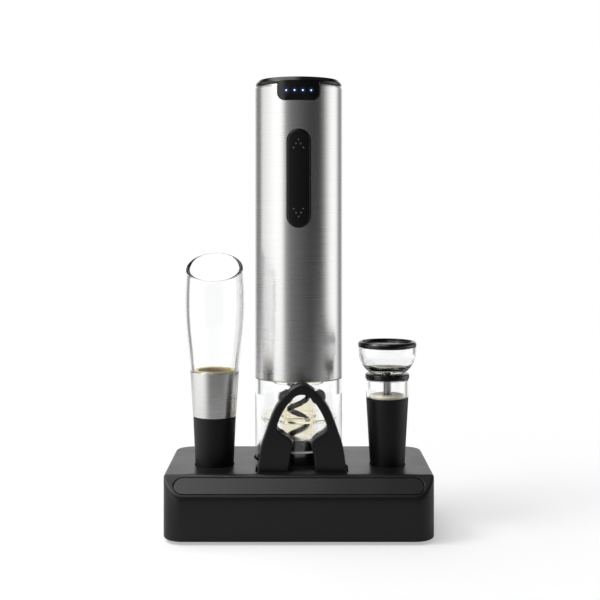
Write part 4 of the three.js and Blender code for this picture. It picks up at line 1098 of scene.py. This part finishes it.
floor_rings = np.linspace(0, FLOOR_RADIUS, FLOOR_RINGS)[:, None]
spin = np.linspace(0, 2 * np.pi, FLOOR_SPOKES, endpoint=False)
floor_points = np.stack([floor_rings * np.cos(spin), floor_rings * np.sin(spin),
                         0 * floor_rings + 0 * spin], -1)
floor = build("floor", floor_points, grid_faces(FLOOR_RINGS, FLOOR_SPOKES, wrap_columns=True))
pale = bpy.data.materials.new("pale_floor")
pale.use_nodes = True
tree = pale.node_tree
shader = tree.nodes["Principled BSDF"]
shader.inputs["Roughness"].default_value = 0.9
shader.inputs["Specular IOR Level"].default_value = 0.0
place = node(tree, "TexCoord").outputs["Object"]
from_middle = node(tree, "VectorMath", {0: place}, operation="LENGTH").outputs["Value"]
fade = ramped(tree, from_middle, FADE_START, FADE_END)
inner = {"Factor": fade, 6: (0.6, 0.6, 0.6, 1), 7: (0.0, 0.0, 0.0, 1)}
base = node(tree, "Mix", inner, data_type="RGBA").outputs[2]
tree.links.new(base, shader.inputs["Base Color"])
outer = {"Factor": fade, 6: (0.45, 0.45, 0.45, 1), 7: (1.0, 1.0, 1.0, 1)}
lit = node(tree, "Mix", outer, data_type="RGBA").outputs[2]
tree.links.new(lit, shader.inputs["Emission Color"])
across = node(tree, "SeparateXYZ", {0: place}).outputs["X"]
across = node(tree, "Math", {0: across, 1: GLOW_MIDDLE}, operation="SUBTRACT").outputs[0]
sideways = node(tree, "Math", {0: across}, operation="ABSOLUTE").outputs[0]
glow = ramped(tree, sideways, GLOW_START, GLOW_END, 0.0, GLOW_STRENGTH)
way = node(tree, "LightPath").outputs
direct = node(tree, "Math", {0: way["Is Camera Ray"], 1: way["Is Transmission Ray"]},
              operation="MAXIMUM").outputs[0]
strength = node(tree, "Mix", {"Factor": direct, 2: glow, 3: 1.0}, data_type="FLOAT").outputs[0]
tree.links.new(strength, shader.inputs["Emission Strength"])
floor.data.materials.append(pale)

scene = bpy.context.scene
scene.view_settings.view_transform = "Standard"
world = bpy.data.worlds.new("studio")
scene.world = world
world.use_nodes = True
tree = world.node_tree
tree.nodes.clear()
toward = node(tree, "TexCoord").outputs["Generated"]
apart = node(tree, "SeparateXYZ", {0: toward}).outputs
front = node(tree, "Math", {0: apart["Y"], 1: -1.0}, operation="MULTIPLY").outputs[0]
bearing = node(tree, "Math", {0: apart["X"], 1: front}, operation="ARCTAN2").outputs[0]
share = node(tree, "Math", {0: bearing, 1: 0.5 / np.pi, 2: 0.5}, operation="MULTIPLY_ADD").outputs[0]
ramp = node(tree, "ValToRGB", {0: share})
STUDIO = [
    (-180, 1.1), (-153, 1.1), (-146, 0.35), (-120, 0.25), (-112, 1.1), (-66, 1.6), (-44, 1.6), (-34, 0.34),
    (-20, 0.2), (0, 0.14), (30, 0.07), (58, 0.05), (69, 0.3), (84, 1.15), (96, 1.6), (116, 1.5), (127, 0.5),
    (144, 0.22), (156, 1.0), (180, 1.1),
]
STUDIO_GAIN = 2.0
stops = ramp.color_ramp.elements
while len(stops) < len(STUDIO):
    stops.new(0.5)
for stop, (degrees, value) in zip(stops, STUDIO):
    stop.position = (degrees + 180) / 360
    stop.color = (value / STUDIO_GAIN,) * 3 + (1,)
walls = node(tree, "Math", {0: ramp.outputs[0], 1: STUDIO_GAIN}, operation="MULTIPLY").outputs[0]
box = ramped(tree, apart["X"], -0.16, 0.08, 2.6, 0.12)
low = ramped(tree, apart["Z"], 0.32, 0.5, 1.0, 0.08)
up = ramped(tree, apart["Z"], 0.66, 0.82)
walls = node(tree, "Math", {0: walls, 1: low}, operation="MULTIPLY").outputs[0]
room = node(tree, "Mix", {"Factor": up, 2: walls, 3: box}, data_type="FLOAT").outputs[0]
seen = node(tree, "LightPath").outputs["Is Camera Ray"]
shown = node(tree, "Mix", {"Factor": seen, 2: room, 3: 1.0}, data_type="FLOAT").outputs[0]
background = node(tree, "Background", {"Color": (1, 1, 1, 1), "Strength": shown})
tree.links.new(background.outputs[0], node(tree, "OutputWorld").inputs["Surface"])

lamp = bpy.data.lights.new("soft_box", "AREA")
lamp.shape, lamp.size, lamp.energy = "DISK", 0.5, 5.0
box_light = bpy.data.objects.new("soft_box", lamp)
box_light.location = (-0.75, -0.25, 1.0)
scene.collection.objects.link(box_light)
box_light.rotation_euler = (-box_light.location).to_track_quat("-Z", "Y").to_euler()

camera_data = bpy.data.cameras.new("camera")
camera_data.lens, camera_data.sensor_width = 69, 36
camera_data.shift_x, camera_data.shift_y = 0.0067, -0.1417
camera = bpy.data.objects.new("camera", camera_data)
camera.location = (-0.0015, -0.645, 0.1731)
camera.rotation_euler = (np.pi / 2, 0, 0)
scene.collection.objects.link(camera)
scene.camera = camera
